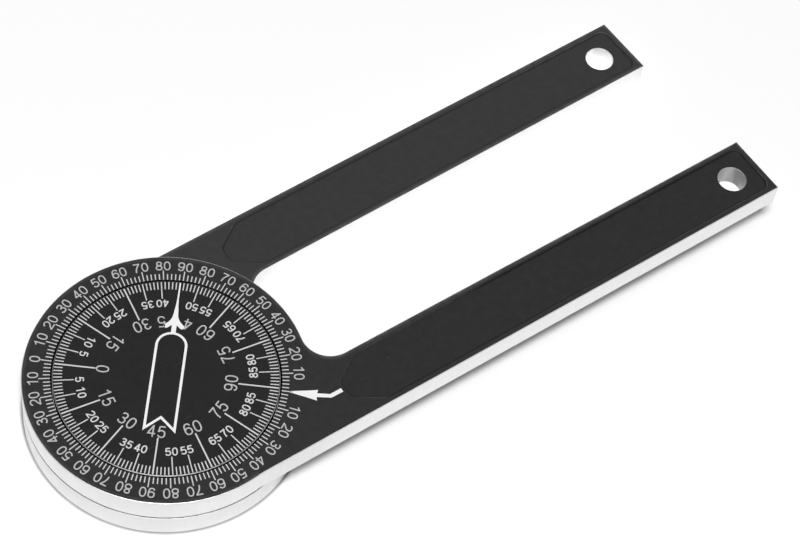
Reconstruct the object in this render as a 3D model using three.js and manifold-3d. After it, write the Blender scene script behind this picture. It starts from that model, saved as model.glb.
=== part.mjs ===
// Angle finder: two mirror-image flat arms, one above the other, that turn on a round dial.
// The origin is on the underside of the lower arm at the pivot. X runs along the lower arm, Z is up.

import * as THREE from "three";
import { mergeVertices } from "three/addons/utils/BufferGeometryUtils.js";
import Module from "manifold-3d";

const wasm = await Module();
wasm.setup();

// Driving dimensions, in millimetres unless a name says otherwise

// Plates
const headRadius = 32.25; // outside of both round heads
const plateThickness = 6.35; // both arms are cut from the same plate
const plateGap = 0.55; // air between the two plates
const armReach = 156.05; // pivot to the square end of an arm
const barWidth = 16.3; // width of the straight bar
const measuringEdgeInset = 0.3; // the measuring edge lies this far inside the head's circle
const rootFilletRadius = 6.6; // hollow corner between the head and the bar's inner edge
const edgeBreak = 0.1; // small bevel on the edges of plates and dial
const restOpeningDegrees = 1.25; // angle between the arms as they lie

// Sunk field in each bar's top face
const fieldMargin = 1.4; // rim left along the bar's sides and end
const fieldDepth = 0.45;
const fieldWallRun = 0.3; // width of the sloping wall, seen from above
const fieldCornerRadius = 2.4;
const fieldShoulderRadius = 3;
const fieldNoseLength = 6.9; // the field narrows over this length towards the head
const fieldNoseHalfWidth = 2.2;

// Hanging hole in each arm
const hangingHoleRadius = 3.6;
const hangingHoleSetback = 8.2; // hole centre to the arm's end

// Pivot
const runningGap = 0.3; // clearance all round every fitted piece
const scaleRingWidth = 6.75; // width of the upper head's face outside the dial
const dialThickness = 2.8;
const ringLedgeWidth = 4.7; // ledge inside the ring that the dial's rim covers
const hubSeatDepth = 2; // the hub is let into the lower head by this much
const dialWasherThickness = 0.5;
const glideWasherThickness = 1;
const glideWasherStandOut = 0.25; // the washer stands this far above the lower head
const glideWasherMargin = 2.25; // from the head's outside to the washer
const glideWasherInset = 3.2; // from the hub's outside to the washer
const sealSectionRadius = 0.8; // rubber ring round the hub

// Fasteners
const screwShankRadius = 1.5;
const screwHeadRadius = 2.8;
const screwHeadLip = 0.2; // straight edge of the countersunk head
const screwSink = 0.2; // the head lies this far inside the underside
const socketCornerRadius = 1.15; // six-sided driving socket
const socketDepth = 1.1;
const screwInset = 7.8; // screw centres lie this far inside the hub's outside
const pinRadius = 1;
const pinChamfer = 0.2;
const pinInset = 7.8;
const pinFootDepth = 1.5; // how far a pin goes into the floor of the hub's seat
const dialSkin = 0.75; // metal left over the blind holes in the dial

// Counts
const screwCount = 4;
const pinCount = 2;
const circleSteps = 120; // round edges that show
const hiddenCircleSteps = 64; // round edges inside the pivot
const hangingHoleSteps = 48;
const smallCircleSteps = 24;
const sealSectionSteps = 8;
const socketSides = 6;

// Every cut runs past its faces by this much
const cutOverrun = 1;

// Levels and radii that follow from the sizes above
const measuringEdge = headRadius - measuringEdgeInset;
const innerEdge = measuringEdge - barWidth;
const ringBottom = plateThickness + plateGap;
const ringTop = ringBottom + plateThickness;
const dialRadius = headRadius - scaleRingWidth;
const hubRadius = dialRadius - ringLedgeWidth;
const dialBottom = ringTop - dialThickness;
const hubTop = dialBottom - runningGap;
const dialWasherBottom = hubTop - dialWasherThickness;
const ledgeTop = dialWasherBottom - runningGap;
const hubSeatFloor = plateThickness - hubSeatDepth;
const hubBottom = hubSeatFloor + runningGap;
const blindHoleTop = ringTop - dialSkin;
const fastenerTop = blindHoleTop - runningGap;
const screwHoleRadius = screwShankRadius + runningGap;
const pinHoleRadius = pinRadius + runningGap;
const pinHoleBottom = hubSeatFloor - pinFootDepth - runningGap;
const sealGrooveRadius = hubRadius - 2 * sealSectionRadius - runningGap;
const sealLevel = (ringBottom + ledgeTop) / 2;
const screwCircleRadius = hubRadius - screwInset;
const pinCircleRadius = hubRadius - pinInset;

// Shapes

// A geometry becomes a solid once its shared points are merged and its faces point outwards.
function toSolid(geometry) {
  const bare = geometry.clone();
  bare.deleteAttribute("normal");
  bare.deleteAttribute("uv");
  const merged = mergeVertices(bare);
  const points = merged.getAttribute("position");
  const corner = [new THREE.Vector3(), new THREE.Vector3(), new THREE.Vector3()];
  const faces = [];
  let volume = 0;
  for (let i = 0; i < merged.index.count; i += 3) {
    const face = [0, 1, 2].map((k) => merged.index.getX(i + k));
    if (face[0] === face[1] || face[1] === face[2] || face[2] === face[0]) {
      continue;
    }
    face.forEach((index, k) => corner[k].fromBufferAttribute(points, index));
    volume += corner[0].dot(corner[1].cross(corner[2]));
    faces.push(face);
  }
  if (volume < 0) {
    faces.forEach((face) => face.reverse());
  }
  return new wasm.Manifold(
    new wasm.Mesh({
      numProp: 3,
      vertProperties: points.array,
      triVerts: new Uint32Array(faces.flat()),
    }),
  );
}

// A solid becomes a named mesh with its own material.
function toMesh(solid, name, material) {
  const result = solid.getMesh();
  const geometry = new THREE.BufferGeometry();
  geometry.setAttribute("position", new THREE.BufferAttribute(result.vertProperties, 3));
  geometry.setIndex(new THREE.BufferAttribute(result.triVerts, 1));
  const flat = geometry.toNonIndexed();
  flat.computeVertexNormals();
  const mesh = new THREE.Mesh(flat, material);
  mesh.name = name;
  return mesh;
}

// A solid turned about Z from a list of [radius, height] points that starts and ends on the axis,
// or closes on itself.
function turned(profile, steps = circleSteps) {
  const points = profile.map(([radius, height]) => new THREE.Vector2(radius, height));
  const geometry = new THREE.LatheGeometry(points, steps);
  geometry.rotateX(Math.PI / 2);
  return toSolid(geometry);
}

// A washer or a round groove with a square section.
function turnedRing(innerRadius, outerRadius, bottom, top) {
  const profile = [
    [innerRadius, bottom],
    [outerRadius, bottom],
    [outerRadius, top],
    [innerRadius, top],
    [innerRadius, bottom],
  ];
  return turned(profile, hiddenCircleSteps);
}

// A plain round bar or drilled hole on the Z axis.
function cylinder(radius, bottom, top, steps = smallCircleSteps) {
  const geometry = new THREE.CylinderGeometry(radius, radius, top - bottom, steps);
  geometry.rotateX(Math.PI / 2);
  geometry.translate(0, 0, (top + bottom) / 2);
  return toSolid(geometry);
}

// An outline pulled up between two levels, with its end faces drawn in by the bevel.
function prism(points, bottom, top, bevelHeight, bevelWidth) {
  const geometry = new THREE.ExtrudeGeometry(new THREE.Shape(points), {
    depth: top - bottom - 2 * bevelHeight,
    bevelEnabled: true,
    bevelThickness: bevelHeight,
    bevelSize: bevelWidth,
    bevelOffset: -bevelWidth,
    bevelSegments: 1,
    steps: 1,
  });
  geometry.translate(0, 0, bottom + bevelHeight);
  return toSolid(geometry);
}

// Points along an arc, both ends included.
function arc(x, y, radius, from, to) {
  const turn = to - from;
  const steps = Math.max(3, Math.ceil((Math.abs(turn) / (2 * Math.PI)) * circleSteps));
  return Array.from({ length: steps + 1 }, (_, i) => {
    const angle = from + (turn * i) / steps;
    return new THREE.Vector2(x + radius * Math.cos(angle), y + radius * Math.sin(angle));
  });
}

// A closed outline through corners given as {x, y, radius}, each corner rounded by its radius.
function roundedOutline(corners) {
  return corners.flatMap((corner, i) => {
    const here = new THREE.Vector2(corner.x, corner.y);
    const before = corners[(i + corners.length - 1) % corners.length];
    const after = corners[(i + 1) % corners.length];
    const back = new THREE.Vector2(before.x, before.y).sub(here).normalize();
    const ahead = new THREE.Vector2(after.x, after.y).sub(here).normalize();
    const halfAngle = Math.acos(back.dot(ahead)) / 2;
    const middle = back.clone().add(ahead).normalize();
    const centre = middle.multiplyScalar(corner.radius / Math.sin(halfAngle)).add(here);
    const reach = corner.radius / Math.tan(halfAngle);
    const start = back.multiplyScalar(reach).add(here).sub(centre);
    const end = ahead.multiplyScalar(reach).add(here).sub(centre);
    const turn = Math.atan2(start.cross(end), start.dot(end));
    return arc(centre.x, centre.y, corner.radius, start.angle(), start.angle() + turn);
  });
}

// The same solid at equal steps round the Z axis.
function roundTheAxis(solid, count, radius, firstAngle = 0) {
  return Array.from({ length: count }, (_, i) => {
    const angle = firstAngle + (2 * Math.PI * i) / count;
    return solid.translate([radius * Math.cos(angle), radius * Math.sin(angle), 0]);
  });
}

const cutAll = (solid, cutters) => cutters.reduce((rest, cutter) => rest.subtract(cutter), solid);
const mirrored = (points, side) => points.map((p) => new THREE.Vector2(p.x, side * p.y));

// Materials

const metal = (color, roughness) => new THREE.MeshStandardMaterial({ color, roughness, metalness: 1 });
const plastic = (color, roughness) => new THREE.MeshStandardMaterial({ color, roughness, metalness: 0 });

// Screws and pins stand at equal steps round the pivot, with the screws between the pins.
const firstScrewAngle = Math.PI / screwCount;
const screwHeadBottom = screwSink;
const screwConeBottom = screwHeadBottom + screwHeadLip;
const screwConeTop = screwConeBottom + screwHeadRadius - screwShankRadius;

// The cut for one countersunk screw keeps the running gap all round the screw.
function screwHole() {
  const seatRadius = screwHeadRadius + runningGap;
  const seatTop = screwConeTop + screwHoleRadius - screwShankRadius;
  return turned(
    [
      [0, -cutOverrun],
      [seatRadius, -cutOverrun],
      [seatRadius, screwConeBottom + runningGap],
      [screwHoleRadius, seatTop],
      [screwHoleRadius, blindHoleTop],
      [0, blindHoleTop],
    ],
    smallCircleSteps,
  );
}

const screwHoles = () => roundTheAxis(screwHole(), screwCount, screwCircleRadius, firstScrewAngle);
const pinHoles = () =>
  roundTheAxis(cylinder(pinHoleRadius, pinHoleBottom, blindHoleTop), pinCount, pinCircleRadius);

// Arms

// Outline of a plate with its bar on the +Y side, or mirrored to the other side.
function plateOutline(side) {
  const filletY = innerEdge - rootFilletRadius;
  const filletX = Math.sqrt((headRadius + rootFilletRadius) ** 2 - filletY ** 2);
  const filletAngle = Math.atan2(filletY, filletX);
  const headEnd = Math.asin(measuringEdge / headRadius);
  const points = [
    ...arc(filletX, filletY, rootFilletRadius, Math.PI / 2, Math.PI + filletAngle),
    ...arc(0, 0, headRadius, filletAngle, headEnd - 2 * Math.PI).slice(1),
    new THREE.Vector2(armReach, measuringEdge),
    new THREE.Vector2(armReach, innerEdge),
  ];
  return mirrored(points, side);
}

// Outline of the sunk field, which ends in a blunt nose beside the head.
function fieldOutline(side) {
  const middle = (measuringEdge + innerEdge) / 2;
  const halfWidth = barWidth / 2 - fieldMargin;
  const end = armReach - fieldMargin;
  const shoulder = headRadius + fieldNoseLength;
  const halfOutline = [
    { x: headRadius, y: fieldNoseHalfWidth, radius: fieldCornerRadius },
    { x: shoulder, y: halfWidth, radius: fieldShoulderRadius },
    { x: end, y: halfWidth, radius: fieldCornerRadius },
  ];
  const lowerHalf = halfOutline.map((corner) => ({ ...corner, y: -corner.y }));
  const corners = [...lowerHalf, ...halfOutline.reverse()];
  const shifted = corners.map((corner) => ({ ...corner, y: corner.y + middle }));
  return mirrored(roundedOutline(shifted), side);
}

// One arm's plate between two levels, with its sunk field and its hanging hole.
function armPlate(side, bottom, top) {
  const plate = prism(plateOutline(side), bottom, top, edgeBreak, edgeBreak);
  const floor = top - fieldDepth;
  const field = prism(fieldOutline(side), floor, top + cutOverrun, fieldDepth, fieldWallRun);
  const flare = hangingHoleRadius + edgeBreak + cutOverrun;
  const drill = turned(
    [
      [0, bottom - cutOverrun],
      [flare, bottom - cutOverrun],
      [hangingHoleRadius, bottom + edgeBreak],
      [hangingHoleRadius, floor - edgeBreak],
      [flare, floor + cutOverrun],
      [0, floor + cutOverrun],
    ],
    hangingHoleSteps,
  );
  const holeY = (side * (measuringEdge + innerEdge)) / 2;
  const hole = drill.translate([armReach - hangingHoleSetback, holeY, 0]);
  return cutAll(plate, [field, hole]);
}

// The upper head is a ring: a bore for the hub, and above it a wider seat for the dial.
function upperArm() {
  const bore = hubRadius + runningGap;
  const seat = dialRadius + runningGap;
  const opening = turned([
    [0, ringBottom - cutOverrun],
    [bore, ringBottom - cutOverrun],
    [bore, ledgeTop],
    [seat, ledgeTop],
    [seat, ringTop - edgeBreak],
    [seat + edgeBreak + cutOverrun, ringTop + cutOverrun],
    [0, ringTop + cutOverrun],
  ]);
  const solid = armPlate(-1, ringBottom, ringTop).subtract(opening);
  return toMesh(solid, "upper_arm", metal(0x2d2e30, 0.5));
}

// The lower head is solid, with a seat for the hub and a groove for the glide washer.
function lowerArm() {
  const hubSeat = cylinder(
    hubRadius + runningGap,
    hubSeatFloor,
    plateThickness + cutOverrun,
    hiddenCircleSteps,
  );
  const washerGroove = turnedRing(
    hubRadius + glideWasherInset - runningGap,
    headRadius - glideWasherMargin + runningGap,
    plateThickness + glideWasherStandOut - glideWasherThickness - runningGap,
    plateThickness + cutOverrun,
  );
  const plate = armPlate(1, 0, plateThickness);
  const solid = cutAll(plate, [hubSeat, washerGroove, ...screwHoles(), ...pinHoles()]);
  return toMesh(solid, "lower_arm", metal(0x38393b, 0.5));
}

// Pivot

function scaleDial() {
  const blank = turned([
    [0, dialBottom],
    [dialRadius, dialBottom],
    [dialRadius, ringTop - edgeBreak],
    [dialRadius - edgeBreak, ringTop],
    [0, ringTop],
  ]);
  const solid = cutAll(blank, [...screwHoles(), ...pinHoles()]);
  return toMesh(solid, "scale_dial", metal(0x2b2c2e, 0.5));
}

// The turned hub stands in the lower head and carries the dial and the rubber ring.
function pivotHub() {
  const grooveHalf = sealSectionRadius + runningGap;
  const profile = [
    [0, hubBottom],
    [hubRadius, hubBottom],
    [hubRadius, sealLevel - grooveHalf],
    [sealGrooveRadius, sealLevel - grooveHalf],
    [sealGrooveRadius, sealLevel + grooveHalf],
    [hubRadius, sealLevel + grooveHalf],
    [hubRadius, hubTop],
    [0, hubTop],
  ];
  const blank = turned(profile, hiddenCircleSteps);
  const solid = cutAll(blank, [...screwHoles(), ...pinHoles()]);
  return toMesh(solid, "pivot_hub", metal(0xb9babb, 0.35));
}

function glideWasher() {
  const top = plateThickness + glideWasherStandOut;
  const solid = turnedRing(
    hubRadius + glideWasherInset,
    headRadius - glideWasherMargin,
    top - glideWasherThickness,
    top,
  );
  return toMesh(solid, "glide_washer", plastic(0xe8e6df, 0.6));
}

// The thin washer fills the ledge between the hub's bore and the dial's rim.
function dialWasher() {
  const solid = turnedRing(hubRadius + 2 * runningGap, dialRadius, dialWasherBottom, hubTop);
  return toMesh(solid, "dial_washer", plastic(0xe8e6df, 0.6));
}

function frictionRing() {
  const middleRadius = hubRadius - sealSectionRadius;
  const geometry = new THREE.TorusGeometry(
    middleRadius,
    sealSectionRadius,
    sealSectionSteps,
    hiddenCircleSteps,
  );
  geometry.translate(0, 0, sealLevel);
  return toMesh(toSolid(geometry), "friction_ring", plastic(0x1b1b1c, 0.8));
}

// Fasteners

function dialScrews() {
  const blank = turned(
    [
      [0, screwHeadBottom],
      [screwHeadRadius, screwHeadBottom],
      [screwHeadRadius, screwConeBottom],
      [screwShankRadius, screwConeTop],
      [screwShankRadius, fastenerTop],
      [0, fastenerTop],
    ],
    smallCircleSteps,
  );
  const socketTop = screwHeadBottom + socketDepth;
  const socket = cylinder(
    socketCornerRadius,
    screwHeadBottom - cutOverrun,
    socketTop,
    socketSides,
  );
  const screws = roundTheAxis(
    blank.subtract(socket),
    screwCount,
    screwCircleRadius,
    firstScrewAngle,
  );
  return screws.map((screw, i) => toMesh(screw, `dial_screw_${i + 1}`, metal(0x8d8e90, 0.4)));
}

function locatingPins() {
  const bottom = pinHoleBottom + runningGap;
  const blank = turned(
    [
      [0, bottom],
      [pinRadius - pinChamfer, bottom],
      [pinRadius, bottom + pinChamfer],
      [pinRadius, fastenerTop - pinChamfer],
      [pinRadius - pinChamfer, fastenerTop],
      [0, fastenerTop],
    ],
    smallCircleSteps,
  );
  const pins = roundTheAxis(blank, pinCount, pinCircleRadius);
  return pins.map((pin, i) => toMesh(pin, `locating_pin_${i + 1}`, metal(0xa7a8aa, 0.3)));
}

// Assembly

const lowerBody = new THREE.Group();
lowerBody.add(lowerArm(), pivotHub(), scaleDial(), glideWasher(), dialWasher(), frictionRing());
lowerBody.add(...dialScrews(), ...locatingPins());

const upperBody = new THREE.Group();
upperBody.add(upperArm());
upperBody.rotation.z = -THREE.MathUtils.degToRad(restOpeningDegrees);

const angleFinder = new THREE.Group();
angleFinder.add(lowerBody, upperBody);

export default angleFinder;
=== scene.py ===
"""Looks of an angle finder: two flat arms, one above the other, that turn on one round dial.

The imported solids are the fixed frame, and every piece here stands in their place or on them. Sizes are in
millimetres, in the frame of the solids, and a finished piece is brought to metres in its mesh.
"""

import logging
import math
from dataclasses import dataclass
from enum import Enum, IntEnum
from typing import Any, Callable, Sequence

import bmesh
import bpy
from mathutils import Matrix, Vector
from mathutils.geometry import delaunay_2d_cdt


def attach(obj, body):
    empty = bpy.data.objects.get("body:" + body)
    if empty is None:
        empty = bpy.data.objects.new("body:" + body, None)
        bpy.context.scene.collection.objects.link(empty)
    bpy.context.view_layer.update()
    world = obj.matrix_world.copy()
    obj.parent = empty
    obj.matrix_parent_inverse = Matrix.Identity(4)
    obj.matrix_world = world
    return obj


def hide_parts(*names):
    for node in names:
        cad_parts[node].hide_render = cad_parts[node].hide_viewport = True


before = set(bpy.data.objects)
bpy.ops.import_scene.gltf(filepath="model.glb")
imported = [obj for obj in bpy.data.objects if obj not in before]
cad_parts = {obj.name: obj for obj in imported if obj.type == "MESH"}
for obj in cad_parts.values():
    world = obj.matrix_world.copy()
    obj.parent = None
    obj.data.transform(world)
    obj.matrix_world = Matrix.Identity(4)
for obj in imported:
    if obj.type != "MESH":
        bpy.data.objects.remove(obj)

LOG = logging.getLogger("angle_finder")

MM = 0.001
TURN = 2 * math.pi
ROUND_STEPS = 240
SMALL_STEPS = 64
FASTENER_STEPS = 48
SOCKET_SIDES = 6
SWEEP_STEPS = 160
SECTION_STEPS = 24
FILL_TOLERANCE = 1e-6  # points nearer than this are one when a face is filled
CRISP_ANGLE = math.radians(35)  # edges sharper than this break the shading
BOWL_STEP = 15  # degrees between two points of a figure's bowl
FULLNESS = 2.3  # 2 for an elliptic bowl, more for a squarer one

Point = tuple[float, float]
Outline = list[Point]
Loop = list[bmesh.types.BMVert]
Socket = bpy.types.NodeSocket
Node = bpy.types.Node
Piece = bpy.types.Object


class Body(Enum):
    """The two bodies of the frame, which turn against each other."""

    LOWER = "lower_body"
    UPPER = "upper_body"


class Slot(Enum):
    """Names of material slots, which no piece here takes its finish from."""

    UPPER_PLATE = "upper_plate"
    LOWER_PLATE = "lower_plate"
    DIAL = "dial"
    HUB = "hub"
    SEAL = "seal"
    SCREW = "screw"
    PIN = "pin"


class Side(IntEnum):
    """Side of the pivot that an arm's bar lies on, as the sign of its Y."""

    PLUS_Y = 1
    MINUS_Y = -1


class Face(IntEnum):
    """Place of a face's finish in the material list of a piece."""

    COAT = 0
    METAL = 1
    FIELD = 2


class Tops(Enum):
    """Which way the tops of printed figures point, as degrees from a figure's own right-hand side."""

    OUTWARDS = 90.0
    INWARDS = -90.0


# Sizes


@dataclass(frozen=True)
class ToolSizes:
    """Sizes of the frame's solids that the finished pieces follow, in millimetres.

    The fields drive the others, which are worked out from them as properties.
    """

    # both plates
    head_radius: float = 32.25
    plate: float = 6.35
    plate_gap: float = 0.55
    reach: float = 156.05
    bar_width: float = 16.3
    edge_inset: float = 0.3
    root_fillet: float = 6.6
    edge: float = 0.07
    rest_opening: float = 1.25
    # sunk fields and hanging holes
    field_margin: float = 1.4
    field_depth: float = 0.45
    field_lip: float = 0.08
    field_run: float = 0.3
    field_corner: float = 2.4
    field_shoulder: float = 3.0
    nose_length: float = 6.9
    nose_half_width: float = 2.2
    hole_radius: float = 3.57
    hole_setback: float = 8.2
    # pivot
    running_gap: float = 0.3
    ring_width: float = 6.75
    ledge_width: float = 4.7
    dial_inset: float = 0.07
    dial_gap: float = 0.43
    dial_edge: float = 0.06
    dial_bevel: float = 0.17
    dial_bevel_drop: float = 0.14
    dial_thickness: float = 2.8
    dial_skin: float = 0.75
    dial_washer: float = 0.5
    hub_seat_depth: float = 2.0
    glide_washer: float = 1.0
    glide_stand_out: float = 0.25
    glide_margin: float = 2.25
    glide_inset: float = 3.2
    seal_section: float = 0.8
    # fasteners
    screw_count: int = 4
    first_screw: float = 45.0
    screw_inset: float = 7.8
    screw_shank: float = 1.5
    screw_head: float = 2.8
    screw_sink: float = 0.2
    screw_lip: float = 0.2
    pin_count: int = 2
    pin_radius: float = 1.0
    pin_depth: float = 1.5
    # print
    ink: float = 0.02

    @property
    def measuring_edge(self) -> float:
        """Distance of the measuring edge from the pivot."""
        return self.head_radius - self.edge_inset

    @property
    def inner_edge(self) -> float:
        """Distance of the bar's inner edge from the pivot."""
        return self.measuring_edge - self.bar_width

    @property
    def bar_middle(self) -> float:
        """Distance of the bar's middle line from the pivot."""
        return (self.measuring_edge + self.inner_edge) / 2

    @property
    def upper_bottom(self) -> float:
        """Level of the upper plate's underside."""
        return self.plate + self.plate_gap

    @property
    def top(self) -> float:
        """Level of the frame's top face."""
        return self.upper_bottom + self.plate

    @property
    def face(self) -> float:
        """Level of the printed faces, which lie under the frame's top by the ink's thickness."""
        return self.top - self.ink

    @property
    def dial_radius(self) -> float:
        """Radius of the dial, which lies a little inside its solid."""
        return self.head_radius - self.ring_width - self.dial_inset

    @property
    def dial_bottom(self) -> float:
        """Level of the dial's underside."""
        return self.top - self.dial_thickness

    @property
    def hub_radius(self) -> float:
        """Radius of the hub."""
        return self.head_radius - self.ring_width - self.ledge_width

    @property
    def hub_top(self) -> float:
        """Level of the hub's top."""
        return self.dial_bottom - self.running_gap

    @property
    def ledge_top(self) -> float:
        """Level of the ledge inside the ring, under the dial's washer."""
        return self.hub_top - self.dial_washer - self.running_gap

    @property
    def hub_seat_floor(self) -> float:
        """Level of the floor that the hub stands on."""
        return self.plate - self.hub_seat_depth

    @property
    def groove_floor(self) -> float:
        """Level of the floor of the glide washer's groove."""
        return self.plate + self.glide_stand_out - self.glide_washer - self.running_gap

    @property
    def groove_radii(self) -> Point:
        """Inner and outer radius of the glide washer's groove."""
        inner = self.hub_radius + self.glide_inset - self.running_gap
        return (inner, self.head_radius - self.glide_margin + self.running_gap)

    @property
    def fastener_circle(self) -> float:
        """Radius of the circle that the screws and the pins stand on."""
        return self.hub_radius - self.screw_inset

    @property
    def blind_hole_top(self) -> float:
        """Level of the ends of the blind holes in the dial."""
        return self.top - self.dial_skin

    @property
    def fastener_top(self) -> float:
        """Level of the tips of the screws and the pins."""
        return self.blind_hole_top - self.running_gap

    @property
    def pin_foot(self) -> float:
        """Level of the pins' lower ends."""
        return self.hub_seat_floor - self.pin_depth

    @property
    def seal_level(self) -> float:
        """Level of the rubber ring's middle."""
        return (self.upper_bottom + self.ledge_top) / 2

    @property
    def screw_holes(self) -> list[tuple[Point, float]]:
        """Centres and radii of the screws' holes."""
        places = round_the_pivot(self.fastener_circle, self.screw_count, self.first_screw)
        return [(place, self.screw_shank + self.running_gap) for place in places]

    @property
    def pin_holes(self) -> list[tuple[Point, float]]:
        """Centres and radii of the pins' holes."""
        places = round_the_pivot(self.fastener_circle, self.pin_count)
        return [(place, self.pin_radius + self.running_gap) for place in places]


SIZES = ToolSizes()


# Outlines


def arc(centre: Point, radius: float, start: float, end: float, steps: int = ROUND_STEPS) -> Outline:
    """Makes the points of an arc, both ends included.

    Args:
        centre: Middle of the arc.
        radius: Radius of the arc.
        start: Angle of the first point, in radians.
        end: Angle of the last point, in radians.
        steps: Steps that a whole turn would have.

    Returns:
        The points in order.
    """
    count = max(4, math.ceil(abs(end - start) / TURN * steps))
    angles = [start + (end - start) * i / count for i in range(count + 1)]
    return [(centre[0] + radius * math.cos(a), centre[1] + radius * math.sin(a)) for a in angles]


def circle(radius: float, centre: Point = (0.0, 0.0), steps: int = ROUND_STEPS) -> Outline:
    """Makes a closed circle of points, counterclockwise."""
    return arc(centre, radius, 0, TURN, steps)[:-1]


def signed_area(outline: Outline) -> float:
    """Returns the area inside an outline, positive when it runs counterclockwise."""
    pairs = zip(outline, outline[1:] + outline[:1])
    return sum(a[0] * b[1] - b[0] * a[1] for a, b in pairs) / 2


def shifted(outline: Outline, distance: float) -> Outline:
    """Moves an outline outwards by a distance, or inwards where it is negative.

    Args:
        outline: Closed outline, counterclockwise.
        distance: Distance between the old edges and the new ones.

    Returns:
        The new outline, with a point for each old one.
    """
    moved = []
    for before, here, after in zip(outline[-1:] + outline[:-1], outline, outline[1:] + outline[:1]):
        first = (Vector(here) - Vector(before)).normalized()
        second = (Vector(after) - Vector(here)).normalized()
        normal = Vector((first.y + second.y, -first.x - second.x))
        step = normal * (distance / (1 + first.dot(second)))
        moved.append((here[0] + step.x, here[1] + step.y))
    return moved


def rounded(corners: Sequence[tuple[float, float, float]]) -> Outline:
    """Makes a closed outline through corners with each corner rounded.

    Args:
        corners: X, Y and radius of each corner, counterclockwise.

    Returns:
        The points in order.
    """
    points: Outline = []
    for i, (x, y, radius) in enumerate(corners):
        here = Vector((x, y))
        back = (Vector(corners[i - 1][:2]) - here).normalized()
        ahead = (Vector(corners[(i + 1) % len(corners)][:2]) - here).normalized()
        half = math.acos(max(-1.0, min(1.0, back.dot(ahead)))) / 2
        centre = here + (back + ahead).normalized() * (radius / math.sin(half))
        reach = radius / math.tan(half)
        first = here + back * reach - centre
        last = here + ahead * reach - centre
        start = math.atan2(first.y, first.x)
        turn = math.atan2(first.x * last.y - first.y * last.x, first.dot(last))
        points += arc((centre.x, centre.y), radius, start, start + turn)
    return points


def stepped(outline: Outline, places: Sequence[float]) -> Outline:
    """Adds points to the long edges of an outline, so that the worn and painted-lighter places can change
    along them.

    Args:
        outline: Closed outline.
        places: X of each new point.

    Returns:
        The outline with a new point wherever an edge passes one of the places.
    """
    points: Outline = []
    for here, after in zip(outline, outline[1:] + outline[:1]):
        passed = [x for x in places if min(here[0], after[0]) < x < max(here[0], after[0])]
        points.append(here)
        for x in sorted(passed, reverse=after[0] < here[0]):
            share = (x - here[0]) / (after[0] - here[0])
            points.append((x, here[1] + share * (after[1] - here[1])))
    return points


def turned_point(radius: float, degrees: float) -> Point:
    """Returns the point at a radius and an angle about the pivot."""
    angle = math.radians(degrees)
    return (radius * math.cos(angle), radius * math.sin(angle))


def round_the_pivot(radius: float, count: int, first: float = 0.0) -> list[Point]:
    """Returns points at equal steps about the pivot, from a first angle in degrees."""
    return [turned_point(radius, first + 360 / count * i) for i in range(count)]


def placing(
    size: float, turn: float, middle: Point = (0.0, 0.0), origin: Point = (0.0, 0.0)
) -> Callable[[Point], Point]:
    """Makes the rule that takes a drawn figure to its place on a face.

    Args:
        size: Size of the figure's unit.
        turn: Angle of the figure, in radians.
        middle: Place on the face.
        origin: Point of the figure that comes to that place.

    Returns:
        A function from a point of the figure to its place.
    """
    cosine, sine = math.cos(turn), math.sin(turn)

    def place(point: Point) -> Point:
        """Takes a point of the figure to its place on the face."""
        x, y = (point[0] - origin[0]) * size, (point[1] - origin[1]) * size
        return (middle[0] + x * cosine - y * sine, middle[1] + x * sine + y * cosine)

    return place


# Node trees


class Sketch:
    """Adds nodes to a tree and wires them, for shaders and for geometry alike."""

    def __init__(self, tree: bpy.types.NodeTree) -> None:
        """Takes the tree of a material, a group or a modifier that it draws in."""
        self.tree = tree

    def feed(self, node: Node, inputs: dict[Any, Any]) -> None:
        """Sets a node's inputs, by name or place.

        Args:
            node: Node to set.
            inputs: Values, or the sockets that drive the inputs.
        """
        for key, value in inputs.items():
            if isinstance(value, Socket):
                self.tree.links.new(value, node.inputs[key])
            else:
                node.inputs[key].default_value = value

    def add(self, kind: str, inputs: dict[Any, Any] | None = None, **settings: Any) -> Node:
        """Adds one node.

        Args:
            kind: Type name of the node.
            inputs: Values or output sockets for its inputs, by name or place.
            settings: Properties of the node.

        Returns:
            The new node.
        """
        node = self.tree.nodes.new(kind)
        for key, value in settings.items():
            setattr(node, key, value)
        self.feed(node, inputs or {})
        return node

    def math(self, operation: str, *values: Any, clamp: bool = False) -> Socket:
        """Adds one sum on numbers or sockets, and keeps it from 0 to 1 where it is clamped."""
        node = self.add("ShaderNodeMath", dict(enumerate(values)), operation=operation, use_clamp=clamp)
        return node.outputs[0]

    def vector(self, x: Any = 0.0, y: Any = 0.0, z: Any = 0.0) -> Socket:
        """Joins three numbers or sockets to a vector."""
        return self.add("ShaderNodeCombineXYZ", {0: x, 1: y, 2: z}).outputs[0]

    def blend(self, share: Any, low: Any, high: Any) -> Socket:
        """Mixes two colours by the second one's share."""
        return self.add("ShaderNodeMix", {0: share, 6: low, 7: high}, data_type="RGBA").outputs[2]

    def span(self, value: Any, low: Any, high: Any, to_low: float = 0.0, to_high: float = 1.0) -> Socket:
        """Maps a range of a value to another range and keeps it inside."""
        levels = dict(enumerate((value, low, high, to_low, to_high)))
        return self.add("ShaderNodeMapRange", levels, clamp=True).outputs[0]

    def place(self) -> Socket:
        """Returns the place on the piece, as Object coordinates."""
        return self.add("ShaderNodeTexCoord").outputs["Object"]

    def noise(self, place: Socket, scale: Any, **inputs: float) -> Socket:
        """Adds noise over a place, with further inputs by name, and returns its value."""
        return self.add("ShaderNodeTexNoise", {"Vector": place, "Scale": scale, **inputs}).outputs[0]


def grey(value: float) -> tuple[float, float, float, float]:
    """Returns a neutral colour."""
    return (value, value, value, 1.0)


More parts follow.
